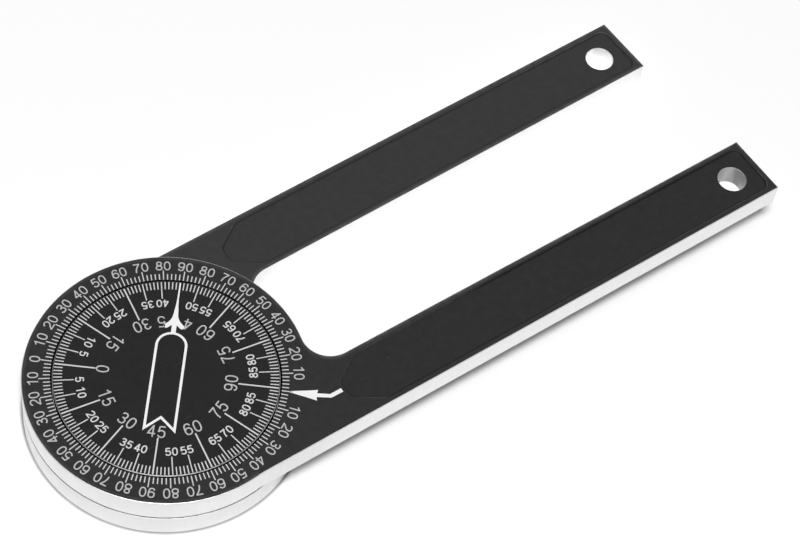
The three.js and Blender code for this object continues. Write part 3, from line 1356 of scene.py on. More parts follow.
@dataclass(frozen=True)
class LowerArm:
    """The lower plate: a round head with seats for the hub, the washer and the fasteners, and a bar.

    Attributes:
        sizes: Sizes of the tool.
    """

    sizes: ToolSizes = SIZES

    def build(self) -> list[Piece]:
        """Builds the plate in its place.

        Returns:
            The finished pieces.
        """
        s = self.sizes
        # Wear with painted highlight; the head value also paints light on the shaded gap under the upper
        # plate
        wear_and_light = {"inner_wear_and_light": 1.0, "outer_wear_and_light": 0.9, "head_wear_and_light": 3.0}
        plate = ArmPlate(Side.PLUS_Y, 0.0, s.plate, top_edge=0.06, **wear_and_light)
        solid = SolidBuilder("lower_plate")
        bottom_rim, top_rim = plate.shell(solid)
        field_rim, floor_rim = plate.field_skin(solid)
        hole_top, hole_bottom = plate.hanging_hole(solid)
        groove_in, groove_out = s.groove_radii
        seat = s.hub_radius + s.running_gap
        walls = ((groove_out, s.groove_floor), (groove_in, s.groove_floor), (seat, s.hub_seat_floor))
        bored = [solid.bore([(at, s.plate), (at, floor)], steps=ROUND_STEPS) for at, floor in walls]
        (outer_rim, outer_foot), (inner_rim, inner_foot), (seat_rim, seat_foot) = bored
        tops, bottoms = self.fastener_holes(solid)
        solid.cap(top_rim, [field_rim, outer_rim])
        solid.cap(outer_foot, [inner_foot], Face.METAL)
        solid.cap(inner_rim, [seat_rim])
        solid.cap(seat_foot, tops, Face.METAL)
        solid.cap(floor_rim, [hole_top], Face.FIELD)
        solid.cap(bottom_rim, [hole_bottom, *bottoms])
        return [self.dressed(solid.finished([LOWER_COAT, LOWER_METAL, LOWER_FIELD]))]

    def fastener_holes(self, solid: SolidBuilder) -> tuple[list[Loop], list[Loop]]:
        """Adds the countersunk holes and the blind pin holes.

        Args:
            solid: The solid that is built.

        Returns:
            The rims in the hub seat's floor and those in the underside.
        """
        s = self.sizes
        head = s.screw_head + s.running_gap
        lip = s.screw_sink + s.screw_lip + s.running_gap
        tops = []
        bottoms = []
        for place, shank in s.screw_holes:
            cone = [(shank, lip + head - shank), (head, lip), (head + s.edge, 0.0)]
            top, bottom = solid.bore([(shank, s.hub_seat_floor), *cone], place)
            tops.append(top)
            bottoms.append(bottom)
        for place, radius in s.pin_holes:
            top, end = solid.bore([(radius, s.hub_seat_floor), (radius, s.pin_foot - s.running_gap)], place)
            solid.cap(end, finish=Face.METAL)
            tops.append(top)
        return tops, bottoms

    def dressed(self, piece: Piece) -> Piece:
        """Puts the plate in the place of its solid and on its body.

        Args:
            piece: The plate.

        Returns:
            The same piece.
        """
        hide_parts("lower_arm")
        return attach(piece, Body.LOWER.value)


# Pivot


@dataclass(frozen=True)
class PivotStack:
    """The dial, the hub under it, and the seal and washers between the plates.

    Attributes:
        sizes: Sizes of the tool.
        hub_break: Bevel on the hub's edges.
    """

    sizes: ToolSizes = SIZES
    hub_break: float = 0.2

    def build(self) -> list[Piece]:
        """Builds every piece of the stack, and returns them."""
        return [self.dial(), self.hub(), self.seal(), *self.washers()]

    def dial(self) -> Piece:
        """Builds the inlaid dial with its blind holes.

        Returns:
            The finished piece.
        """
        s = self.sizes
        solid = SolidBuilder("dial_disc")
        rings = [
            Ring(circle(s.dial_radius), s.dial_bottom),
            Ring(circle(s.dial_radius), s.face - s.dial_bevel_drop, Face.METAL),
            Ring(circle(s.dial_radius - s.dial_bevel), s.face),
            Ring(circle(s.dial_radius - 2 * s.dial_bevel), s.face),
        ]
        foot, rim = solid.skin(rings)
        holes = []
        for place, radius in s.screw_holes + s.pin_holes:
            opening, end = solid.bore([(radius, s.dial_bottom), (radius, s.blind_hole_top)], place)
            solid.cap(end, finish=Face.METAL)
            holes.append(opening)
        solid.cap(foot, holes, Face.METAL)
        solid.cap(rim)
        made = solid.finished([DIAL_COAT, DIAL_METAL])
        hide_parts("scale_dial")
        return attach(made, Body.LOWER.value)

    def hub(self) -> Piece:
        """Builds the turned hub with the groove for the rubber ring.

        Returns:
            The finished piece.
        """
        s = self.sizes
        solid = SolidBuilder("pivot_hub_turning")
        bottom = s.hub_seat_floor + s.running_gap
        groove = s.hub_radius - 2 * s.seal_section - s.running_gap
        half = s.seal_section + s.running_gap
        profile = [
            (s.hub_radius - self.hub_break, bottom),
            (s.hub_radius, bottom + self.hub_break),
            (s.hub_radius, s.seal_level - half),
            (groove, s.seal_level - half),
            (groove, s.seal_level + half),
            (s.hub_radius, s.seal_level + half),
            (s.hub_radius, s.hub_top - self.hub_break),
            (s.hub_radius - self.hub_break, s.hub_top),
        ]
        foot, rim = solid.bore(profile, steps=ROUND_STEPS)
        holes = s.screw_holes + s.pin_holes
        bored = [solid.bore([(radius, bottom), (radius, s.hub_top)], place) for place, radius in holes]
        solid.cap(foot, [low for low, high in bored], Face.METAL)
        solid.cap(rim, [high for low, high in bored], Face.METAL)
        made = solid.finished([TURNED_METAL, TURNED_METAL])
        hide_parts("pivot_hub")
        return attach(made, Body.LOWER.value)

    def seal(self) -> Piece:
        """Builds the rubber ring as a swept circle.

        Returns:
            The finished piece.
        """
        s = self.sizes
        inputs = {
            "Ring Radius": (s.hub_radius - s.seal_section) * MM,
            "Section Radius": s.seal_section * MM,
            "Level": s.seal_level * MM,
        }
        made = SWEPT_RING.grown("rubber_ring", RUBBER, inputs)
        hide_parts("friction_ring")
        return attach(made, Body.LOWER.value)

    def washers(self) -> list[Piece]:
        """Gives the two slip washers of the frame their plastic.

        Returns:
            The frame's own nodes.
        """
        washers = [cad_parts[name] for name in ("glide_washer", "dial_washer")]
        for node in washers:
            node.data.materials.clear()
            node.data.materials.append(SLIP_PLASTIC.material())
        return washers


# Repeats


@dataclass(frozen=True)
class Repeat:
    """A geometry tree that makes one piece out of what it repeats.

    Attributes:
        name: Name of the tree.
        inputs: Names and kinds of its inputs, besides the geometry and the finish.
        draw: Draws the nodes from the tree's inputs, and returns the geometry.
    """

    name: str
    inputs: dict[str, str]
    draw: Callable[[Sketch, Any], Socket]

    def tree(self) -> bpy.types.NodeTree:
        """Builds the tree on first use, ending in real geometry with its finish.

        Returns:
            The tree.
        """
        tree = bpy.data.node_groups.get(self.name)
        if tree:
            return tree
        tree = bpy.data.node_groups.new(self.name, "GeometryNodeTree")
        for label, kind in {"Geometry": "Geometry", **self.inputs, "Finish": "Material"}.items():
            tree.interface.new_socket(label, in_out="INPUT", socket_type="NodeSocket" + kind)
        tree.interface.new_socket("Geometry", in_out="OUTPUT", socket_type="NodeSocketGeometry")
        sketch = Sketch(tree)
        given = sketch.add("NodeGroupInput").outputs
        real = sketch.add("GeometryNodeRealizeInstances", {0: self.draw(sketch, given)}).outputs[0]
        painted = sketch.add("GeometryNodeSetMaterial", {"Geometry": real, "Material": given["Finish"]})
        sketch.add("NodeGroupOutput", {0: painted.outputs[0]})
        return tree

    def grown(
        self, name: str, finish: Finish, inputs: dict[str, Any], start: bpy.types.Mesh | None = None
    ) -> Piece:
        """Runs the tree once and keeps the result as a plain mesh.

        Args:
            name: Name of the piece.
            finish: Finish of the piece.
            inputs: Values of the tree's other inputs, by name.
            start: Mesh that the tree starts from.

        Returns:
            The finished object, without a modifier.
        """
        host = linked(name + "_host", start or bpy.data.meshes.new(name + "_start"))
        modifier = host.modifiers.new("grow", "NODES")
        modifier.node_group = self.tree()
        items = modifier.node_group.interface.items_tree
        sockets = {item.name: item.identifier for item in items if item.in_out == "INPUT"}
        for label, value in {**inputs, "Finish": finish.material()}.items():
            modifier[sockets[label]] = value
        bpy.context.view_layer.update()
        seen = host.evaluated_get(bpy.context.evaluated_depsgraph_get())
        data = bpy.data.meshes.new_from_object(seen)
        data.name = name
        host.modifiers.remove(modifier)
        bpy.data.objects.remove(host)
        return linked(name, data)


def round_points(sketch: Sketch, count: Any, radius: Any, first: Any, level: Any) -> tuple[Socket, Socket]:
    """Draws points at equal steps about the pivot.

    Args:
        sketch: Drawing of the tree.
        count: Number of points.
        radius: Radius of the circle that they lie on.
        first: Angle of the first point, in radians.
        level: Height of the points.

    Returns:
        The points, and the turn about the upright at each point.
    """
    index = sketch.add("GeometryNodeInputIndex").outputs[0]
    angle = sketch.math("ADD", first, sketch.math("DIVIDE", sketch.math("MULTIPLY", index, TURN), count))
    x = sketch.math("MULTIPLY", radius, sketch.math("COSINE", angle))
    y = sketch.math("MULTIPLY", radius, sketch.math("SINE", angle))
    points = sketch.add("GeometryNodePoints", {"Count": count}).outputs[0]
    place = {"Geometry": points, "Position": sketch.vector(x, y, level)}
    return sketch.add("GeometryNodeSetPosition", place).outputs[0], sketch.vector(z=angle)


def draw_swept_ring(sketch: Sketch, given: Any) -> Socket:
    """Draws a round section swept round the pivot.

    Args:
        sketch: Drawing of the tree.
        given: The tree's inputs.

    Returns:
        The swept ring.
    """
    rounds = ((SWEEP_STEPS, given["Ring Radius"]), (SECTION_STEPS, given["Section Radius"]))
    path, section = (
        sketch.add("GeometryNodeCurvePrimitiveCircle", {"Resolution": steps, "Radius": radius}).outputs[0]
        for steps, radius in rounds
    )
    swept = sketch.add("GeometryNodeCurveToMesh", {"Curve": path, "Profile Curve": section}).outputs[0]
    lift = {"Geometry": swept, "Translation": sketch.vector(z=given["Level"])}
    raised = sketch.add("GeometryNodeTransform", lift).outputs[0]
    return sketch.add("GeometryNodeSetShadeSmooth", {"Geometry": raised}).outputs[0]


def draw_round_the_pivot(sketch: Sketch, given: Any) -> Socket:
    """Draws copies of a blank at equal steps about the pivot.

    Args:
        sketch: Drawing of the tree.
        given: The tree's inputs.

    Returns:
        The copies.
    """
    points, turn = round_points(sketch, given["Count"], given["Circle Radius"], given["First Angle"], 0.0)
    copies = {"Points": points, "Instance": given["Geometry"], "Rotation": turn}
    return sketch.add("GeometryNodeInstanceOnPoints", copies).outputs[0]


def draw_graduation(sketch: Sketch, given: Any) -> Socket:
    """Draws the marks of a round scale, with longer marks at set steps.

    Args:
        sketch: Drawing of the tree.
        given: The tree's inputs.

    Returns:
        The marks.
    """
    index = sketch.add("GeometryNodeInputIndex").outputs[0]

    def more(step: str, high: str, low: str) -> Socket:
        """Draws what is added to each mark whose number is a multiple of a step."""
        chosen = sketch.math("COMPARE", sketch.math("FLOORED_MODULO", index, given[step]), 0.0, 0.5)
        return sketch.math("MULTIPLY", chosen, sketch.math("SUBTRACT", given[high], given[low]))

    medium_tip = sketch.math("ADD", given["Short Tip"], more("Medium Step", "Medium Tip", "Short Tip"))
    tip = sketch.math("ADD", medium_tip, more("Long Step", "Long Tip", "Medium Tip"))
    width = sketch.math("ADD", given["Mark Width"], more("Long Step", "Long Width", "Mark Width"))
    middle = sketch.math("MULTIPLY", sketch.math("ADD", given["Root Radius"], tip), 0.5)
    length = sketch.math("ABSOLUTE", sketch.math("SUBTRACT", tip, given["Root Radius"]))
    points, turn = round_points(sketch, given["Marks"], middle, given["First Angle"], given["Level"])
    copies = {
        "Points": points,
        "Selection": sketch.math("SUBTRACT", 1.0, sketch.math("COMPARE", index, given["Left Out"], 0.5)),
        "Instance": sketch.add("GeometryNodeMeshCube", {"Size": (1.0, 1.0, 1.0)}).outputs[0],
        "Rotation": turn,
        "Scale": sketch.vector(length, width, given["Thickness"]),
    }
    return sketch.add("GeometryNodeInstanceOnPoints", copies).outputs[0]


SWEPT_RING = Repeat(
    "swept_ring", dict.fromkeys(("Ring Radius", "Section Radius", "Level"), "Float"), draw_swept_ring
)
ROUND_THE_PIVOT = Repeat(
    "round_the_pivot",
    {"Count": "Int", "Circle Radius": "Float", "First Angle": "Float"},
    draw_round_the_pivot,
)
GRADUATION = Repeat(
    "graduation",
    {
        **dict.fromkeys(("Marks", "Medium Step", "Long Step", "Left Out"), "Int"),
        **dict.fromkeys(("First Angle", "Root Radius", "Short Tip", "Medium Tip", "Long Tip"), "Float"),
        **dict.fromkeys(("Mark Width", "Long Width", "Level", "Thickness"), "Float"),
    },
    draw_graduation,
)


@dataclass(frozen=True)
class Fasteners:
    """The four countersunk screws and the two dowel pins.

    Attributes:
        sizes: Sizes of the tool.
        head_break: Bevel on the edge of a screw's head.
        tip_bevel: Bevel at a screw's tip.
        socket_radius: Corner radius of the six-sided socket.
        socket_depth: Depth of the socket.
        mouth_share: Radius of the socket's round mouth, as a share of the corner radius.
        mouth_depth: Depth at which the mouth has become six-sided.
        pin_chamfer: Bevel at the pin's ends.
    """

    sizes: ToolSizes = SIZES
    head_break: float = 0.12
    tip_bevel: float = 0.3
    socket_radius: float = 1.15
    socket_depth: float = 1.1
    mouth_share: float = 1.12
    mouth_depth: float = 0.1
    pin_chamfer: float = 0.2

    def build(self) -> list[Piece]:
        """Builds the screws and the pins.

        Returns:
            One piece for the screws and one for the pins.
        """
        s = self.sizes
        screws = self.spread("countersunk_screws", self.screw_blank(), s.screw_count, s.first_screw)
        pins = self.spread("dowel_pins", self.pin_blank(), s.pin_count, 0.0)
        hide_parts(*[f"dial_screw_{i + 1}" for i in range(4)])
        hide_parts(*[f"locating_pin_{i + 1}" for i in range(2)])
        return [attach(piece, Body.LOWER.value) for piece in (screws, pins)]

    def spread(self, name: str, blank: bpy.types.Mesh, count: int, first: float) -> Piece:
        """Spreads copies of a blank round the pivot.

        Args:
            name: Name of the piece.
            blank: Mesh of one fastener on the axis.
            count: Number of copies.
            first: Angle of the first copy, in degrees.

        Returns:
            One piece with all copies.
        """
        circle_radius = self.sizes.fastener_circle * MM
        inputs = {"Count": count, "Circle Radius": circle_radius, "First Angle": math.radians(first)}
        return ROUND_THE_PIVOT.grown(name, STEEL, inputs, blank)

    def screw_blank(self) -> bpy.types.Mesh:
        """Builds one screw on the axis, head down.

        Returns:
            Its mesh.
        """
        s = self.sizes
        solid = SolidBuilder("screw_blank")
        cone = s.screw_sink + s.screw_lip
        profile = [
            (self.socket_radius * self.mouth_share, s.screw_sink),
            (s.screw_head - self.head_break, s.screw_sink),
            (s.screw_head, s.screw_sink + self.head_break),
            (s.screw_head, cone),
            (s.screw_shank, cone + s.screw_head - s.screw_shank),
            (s.screw_shank, s.fastener_top - self.tip_bevel),
            (s.screw_shank - self.tip_bevel, s.fastener_top),
        ]
        rim, tip = solid.bore(profile, steps=FASTENER_STEPS)
        solid.cap(tip, finish=Face.METAL)
        depths = (self.mouth_depth, self.socket_depth)
        mouth, end = solid.bore([(self.socket_radius, s.screw_sink + d) for d in depths], steps=SOCKET_SIDES)
        solid.cap(end, finish=Face.METAL)
        self.join_mouth(solid, rim, mouth)
        return solid.blank([STEEL, STEEL])

    def join_mouth(self, solid: SolidBuilder, rim: Loop, mouth: Loop) -> None:
        """Joins the round rim of the head to the six corners of the socket.

        Args:
            solid: The solid that is built.
            rim: Ring of the head's face.
            mouth: Six corners of the socket.
        """
        each = len(rim) // len(mouth)
        for i, corner in enumerate(mouth):
            near = [rim[(i * each + k) % len(rim)] for k in range(each + 1)]
            for a, b in zip(near, near[1:]):
                solid.mesh.faces.new((corner, a, b)).material_index = Face.METAL
            after = mouth[(i + 1) % len(mouth)]
            solid.mesh.faces.new((corner, near[-1], after)).material_index = Face.METAL

    def pin_blank(self) -> bpy.types.Mesh:
        """Builds one pin on the axis.

        Returns:
            Its mesh.
        """
        s = self.sizes
        solid = SolidBuilder("pin_blank")
        small = s.pin_radius - self.pin_chamfer
        profile = [
            (small, s.pin_foot),
            (s.pin_radius, s.pin_foot + self.pin_chamfer),
            (s.pin_radius, s.fastener_top - self.pin_chamfer),
            (small, s.fastener_top),
        ]
        foot, tip = solid.bore(profile, steps=FASTENER_STEPS)
        solid.cap(foot, finish=Face.METAL)
        solid.cap(tip, finish=Face.METAL)
        return solid.blank([STEEL, STEEL])


# Figures


def stroke(path: Outline, width: float, closed: bool = False) -> list[Outline]:
    """Gives a line its width, as one four-sided shape for each step.

    Args:
        path: Points of the middle line.
        width: Width of the line.
        closed: Whether the last point joins the first.

    Returns:
        The shapes, which share their corners.
    """
    count = len(path)
    left = []
    right = []
    for i, here in enumerate(path):
        ways = []
        if closed or i > 0:
            ways.append((Vector(here) - Vector(path[i - 1])).normalized())
        if closed or i < count - 1:
            ways.append((Vector(path[(i + 1) % count]) - Vector(here)).normalized())
        first, second = ways[0], ways[-1]
        normal = Vector((-first.y - second.y, first.x + second.x)) / (1 + first.dot(second))
        left.append((here[0] + normal.x * width / 2, here[1] + normal.y * width / 2))
        right.append((here[0] - normal.x * width / 2, here[1] - normal.y * width / 2))
    steps = range(count if closed else count - 1)
    return [[right[i], right[(i + 1) % count], left[(i + 1) % count], left[i]] for i in steps]


def bow(centre: Point, wide: float, tall: float, start: float, end: float) -> Outline:
    """Makes part of a full round bowl, a little squarer than an ellipse.

    Args:
        centre: Middle of the bowl.
        wide: Half its width.
        tall: Half its height.
        start: Angle of the first point, in degrees.
        end: Angle of the last point, in degrees.

    Returns:
        The points in order.
    """
    count = max(3, round(abs(end - start) / BOWL_STEP))
    closed = abs(end - start) >= 360
    points = []
    for i in range(count if closed else count + 1):
        angle = math.radians(start + (end - start) * i / count)
        c, s = math.cos(angle), math.sin(angle)
        x = math.copysign(abs(c) ** (2 / FULLNESS), c)
        y = math.copysign(abs(s) ** (2 / FULLNESS), s)
        points.append((centre[0] + wide * x, centre[1] + tall * y))
    return points


def eased(points: Outline, steps: int = 4) -> Outline:
    """Draws a smooth line through a few points.

    Args:
        points: Points that the line passes.
        steps: Steps between two points.

    Returns:
        The points of the smooth line.
    """
    ends = [points[0], *points, points[-1]]
    line = []
    for around in zip(ends, ends[1:], ends[2:], ends[3:]):
        for i in range(steps):
            t = i / steps
            line.append(tuple(between(*places, t) for places in zip(*around)))
    return [*line, points[-1]]


def between(a: float, b: float, c: float, d: float, t: float) -> float:
    """Returns a place on the smooth line through four others, t of the way from the second to the third."""
    curve = (2 * a - 5 * b + 4 * c - d) * t**2 + (3 * b - a - 3 * c + d) * t**3
    return 0.5 * (2 * b + (c - a) * t + curve)


@dataclass(frozen=True)
class Figures:
    """Plain sans figures one unit high, drawn as strokes of one weight.

    Attributes:
        weight: Width of the strokes.
        half_width: Half the width of a figure.
        pitch: Distance between the middles of two figures.
    """

    weight: float
    half_width: float
    pitch: float

    def shapes(self, figure: str) -> list[Outline]:
        """Draws one figure.

        Args:
            figure: A figure from 0 to 9.

        Returns:
            Its shapes, with the middle of its foot at the origin.
        """
        if figure == "9":
            return [[(-x, 1 - y) for x, y in shape] for shape in self.shapes("6")]
        w = self.weight
        right = self.half_width - w / 2
        low, high = w / 2, 1 - w / 2
        bowls: list[Outline] = []
        lines: list[Outline] = []
        if figure == "0":
            bowls = [bow((0, 0.5), right, high - 0.5, 0, 360)]
        elif figure == "1":
            stem = 0.25 * right
            flag = [(-0.9 * right, 0.76), (-0.2 * right, 0.83), (stem, 0.985)]
            lines = [[(stem, 0), (stem, 1)], eased(flag)]
        elif figure == "2":
            top = bow((0, 0.7), right, high - 0.7, 172, -10)
            run = eased([top[-1], (0.62 * right, 0.47), (-0.35 * right, 0.27), (-right, low)])
            lines = [top + run[1:], [(-right - w / 2, low), (right + w / 2, low)]]
        elif figure == "3":
            upper = bow((0, 0.742), 0.84 * right, high - 0.742, 168, -90)
            lower = bow((0, 0.29), right, 0.29 - low, 90, -165)
            lines = [upper, lower, [(-0.35 * right, 0.53), (0.1 * right, 0.53)]]
        elif figure == "4":
            stem = 0.46 * right
            bar = 0.285
            slant = [(-right - w * 0.15, bar), (stem - w * 0.1, high)]
            lines = [[(stem, 0), (stem, 1)], [(-right - w / 2, bar), (right + w / 2, bar)], slant]
        elif figure == "5":
            neck = [(-0.66 * right, 1 - w * 0.3), (-0.98 * right, 0.47)]
            bowl = bow((0, 0.335), right, 0.335 - low, 148, -160)
            lines = [[(-0.72 * right, high), (0.95 * right, high)], neck, bowl]
        elif figure == "6":
            bowls = [bow((0.02 * right, 0.325), right, 0.325 - low, 0, 360)]
            side = [(-0.98 * right, 0.36), (-0.93 * right, 0.62), (-0.58 * right, 0.87), (0.08 * right, high)]
            lines = [eased([*side, (0.7 * right, 0.9), (0.95 * right, 0.76)])]
        elif figure == "7":
            run = [(right, high - w * 0.2), (0.25 * right, 0.64), (-0.25 * right, 0.33), (-0.42 * right, 0)]
            lines = [[(-right - w * 0.3, high), (right + w * 0.45, high)], eased(run)]
        elif figure == "8":
            bowls = [
                bow((0, 0.745), 0.82 * right, high - 0.745, 0, 360),
                bow((0, 0.285), right, 0.285 - low, 0, 360),
            ]
        strokes = [stroke(bowl, w, closed=True) for bowl in bowls] + [stroke(line, w) for line in lines]
        return [shape for parts in strokes for shape in parts]


@dataclass(frozen=True)
class NumberRing:
    """Numbers set at angles round the pivot.

    Attributes:
        figures: Figures that the numbers are set in.
        height: Height of a figure.
        radius: Radius of the numbers' middle line.
        tops: Which way the tops point.
    """

    figures: Figures
    height: float
    radius: float
    tops: Tops

    def print_on(self, sheet: InkSheet, text: str, degrees: float) -> None:
        """Prints one number.

        Args:
            sheet: Sheet that takes the ink.
            text: The number.
            degrees: Angle of its middle about the pivot.
        """
        start = -(len(text) - 1) / 2
        for i, figure in enumerate(text):
            self.print_figure(sheet, figure, degrees, (start + i) * self.figures.pitch)

    def print_figure(self, sheet: InkSheet, figure: str, degrees: float, offset: float = 0.0) -> None:
        """Prints one figure beside an angle.

        Args:
            sheet: Sheet that takes the ink.
            figure: The figure.
            degrees: Angle of the number's middle.
            offset: Distance from that middle, in figure heights.
        """
        turn = math.radians(degrees - self.tops.value)
        middle = turned_point(self.radius, degrees)
        sheet.add(self.figures.shapes(figure), placing(self.height, turn, middle, (-offset, 0.5)))


REGULAR = Figures(weight=0.123, half_width=0.32, pitch=0.76)
LARGE = Figures(weight=0.108, half_width=0.297, pitch=0.745)
BOLD = Figures(weight=0.152, half_width=0.328, pitch=0.75)


# Scales

NO_MARK = -1
POINTER_HEAD = [(0.86, 0.0), (0.862, 0.004), (1.0, 0.03), (1.062, 0.044), (1.056, 0.0155)]
POINTER_TAIL = [(1.1474, 0.0229), (1.218, 0.082), (1.238, 0.058), (1.1607, -0.0048)]
ARROW_EDGE = [
    (0.35, 0.017), (0.425, 0.017), (0.398, 0.045), (0.394, 0.058), (0.4, 0.069), (0.413, 0.073),
    (0.425, 0.068), (0.447, 0.045), (0.468, 0.03), (0.49, 0.021), (0.52, 0.0165), (0.55, 0.014),
    (0.58, 0.01), (0.6, 0.008), (0.63, 0.0065), (0.66, 0.0055),
]


@dataclass(frozen=True)
class RoundScale:
    """What both scales share: their zero, and a mark at every two degrees.

    Attributes:
        sizes: Sizes of the tool.
        unit: Radius that the shares of a scale are parts of.
        zero: Angle of the scale's zero, in its own plate's frame.
        mark_count: Number of marks in a turn.
        mark_width: Width of a mark.
    """

    sizes: ToolSizes = SIZES
    unit: float = 32.0
    zero: float = 140.0
    mark_count: int = 180
    mark_width: float = 0.25

    def tens(self) -> list[tuple[int, float]]:
        """Returns every ten degrees of the scale as a step from its zero, with its angle."""
        return [(step, self.zero - 10 * step) for step in range(36)]

    def graduated(
        self,
        name: str,
        ink: Finish,
        shares: Sequence[float],
        steps: Sequence[int],
        long_width: float,
        turn: float,
    ) -> Piece:
        """Builds the marks of the scale.

        Args:
            name: Name of the piece.
            ink: Finish of the marks.
            shares: Radii of the marks' roots and of the short, the medium and the long tips.
            steps: Marks from one medium and from one long mark to the next, and the mark left out.
            long_width: Width of a long mark.
            turn: Degrees that the scale is turned.

        Returns:
            The marks as one piece.
        """
        s = self.sizes
        ends = ("Root Radius", "Short Tip", "Medium Tip", "Long Tip")
        inputs = {
            "Marks": self.mark_count,
            "First Angle": math.radians(self.zero + turn),
            "Mark Width": self.mark_width * MM,
            "Long Width": long_width * MM,
            "Level": s.face * MM,
            "Thickness": 2 * s.ink * MM,
            **{end: share * self.unit * MM for end, share in zip(ends, shares)},
            **dict(zip(("Medium Step", "Long Step", "Left Out"), steps)),
        }
        return GRADUATION.grown(name, ink, inputs)


@dataclass(frozen=True)
class OuterScale(RoundScale):
    """Marks, numbers and pointer on the upper arm's ring.

    Attributes:
        root_share: Inner end of all marks.
        short_share: Outer end of a short mark.
        long_share: Outer end of a ten-degree mark.
        number_share: Middle of the numbers.
        number_height: Height of a figure.
    """

    root_share: float = 0.8085
    short_share: float = 0.857
    long_share: float = 0.887
    number_share: float = 0.9265
    number_height: float = 2.46

    def build(self) -> list[Piece]:
        """Builds the marks, the numbers and the pointer, and returns them."""
        return [self.dressed(piece) for piece in (self.marks(), self.numbers(), self.pointer())]

    def dressed(self, piece: Piece) -> Piece:
        """Sets the print on the upper body."""
        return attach(piece, Body.UPPER.value)

    def marks(self) -> Piece:
        """Builds the marks of the outer scale.

        Returns:
            The marks as one piece.
        """
        shares = (self.root_share, self.short_share, self.long_share, self.long_share)
        steps = (5, 5, NO_MARK)
        turn = -self.sizes.rest_opening
        return self.graduated("outer_scale_marks", RING_INK, shares, steps, self.mark_width, turn)

    def numbers(self) -> Piece:
        """Builds the numbers of the outer scale, upright seen from outside, with none at the pointer.

        Returns:
            The numbers as one piece.
        """
        sheet = InkSheet("outer_scale_numbers")
        ring = NumberRing(REGULAR, self.number_height, self.number_share * self.unit, Tops.OUTWARDS)
        for step, degrees in self.tens():
            if step != 18:
                ring.print_on(sheet, str(10 * min(step, abs(18 - step), 36 - step)), degrees)
        return sheet.finished(NUMBER_INK, self.sizes, -self.sizes.rest_opening)

    def pointer(self) -> Piece:
        """Builds the pointer in the place of the second zero.

        Returns:
            The pointer.
        """
        sheet = InkSheet("outer_scale_pointer")
        far_side = [(u, -v) for u, v in reversed(POINTER_HEAD)][:-1]
        place = placing(self.unit, math.radians(self.zero - 180))
        sheet.add([POINTER_HEAD + POINTER_TAIL + far_side], place)
        return sheet.finished(SOLID_INK, self.sizes, -self.sizes.rest_opening)


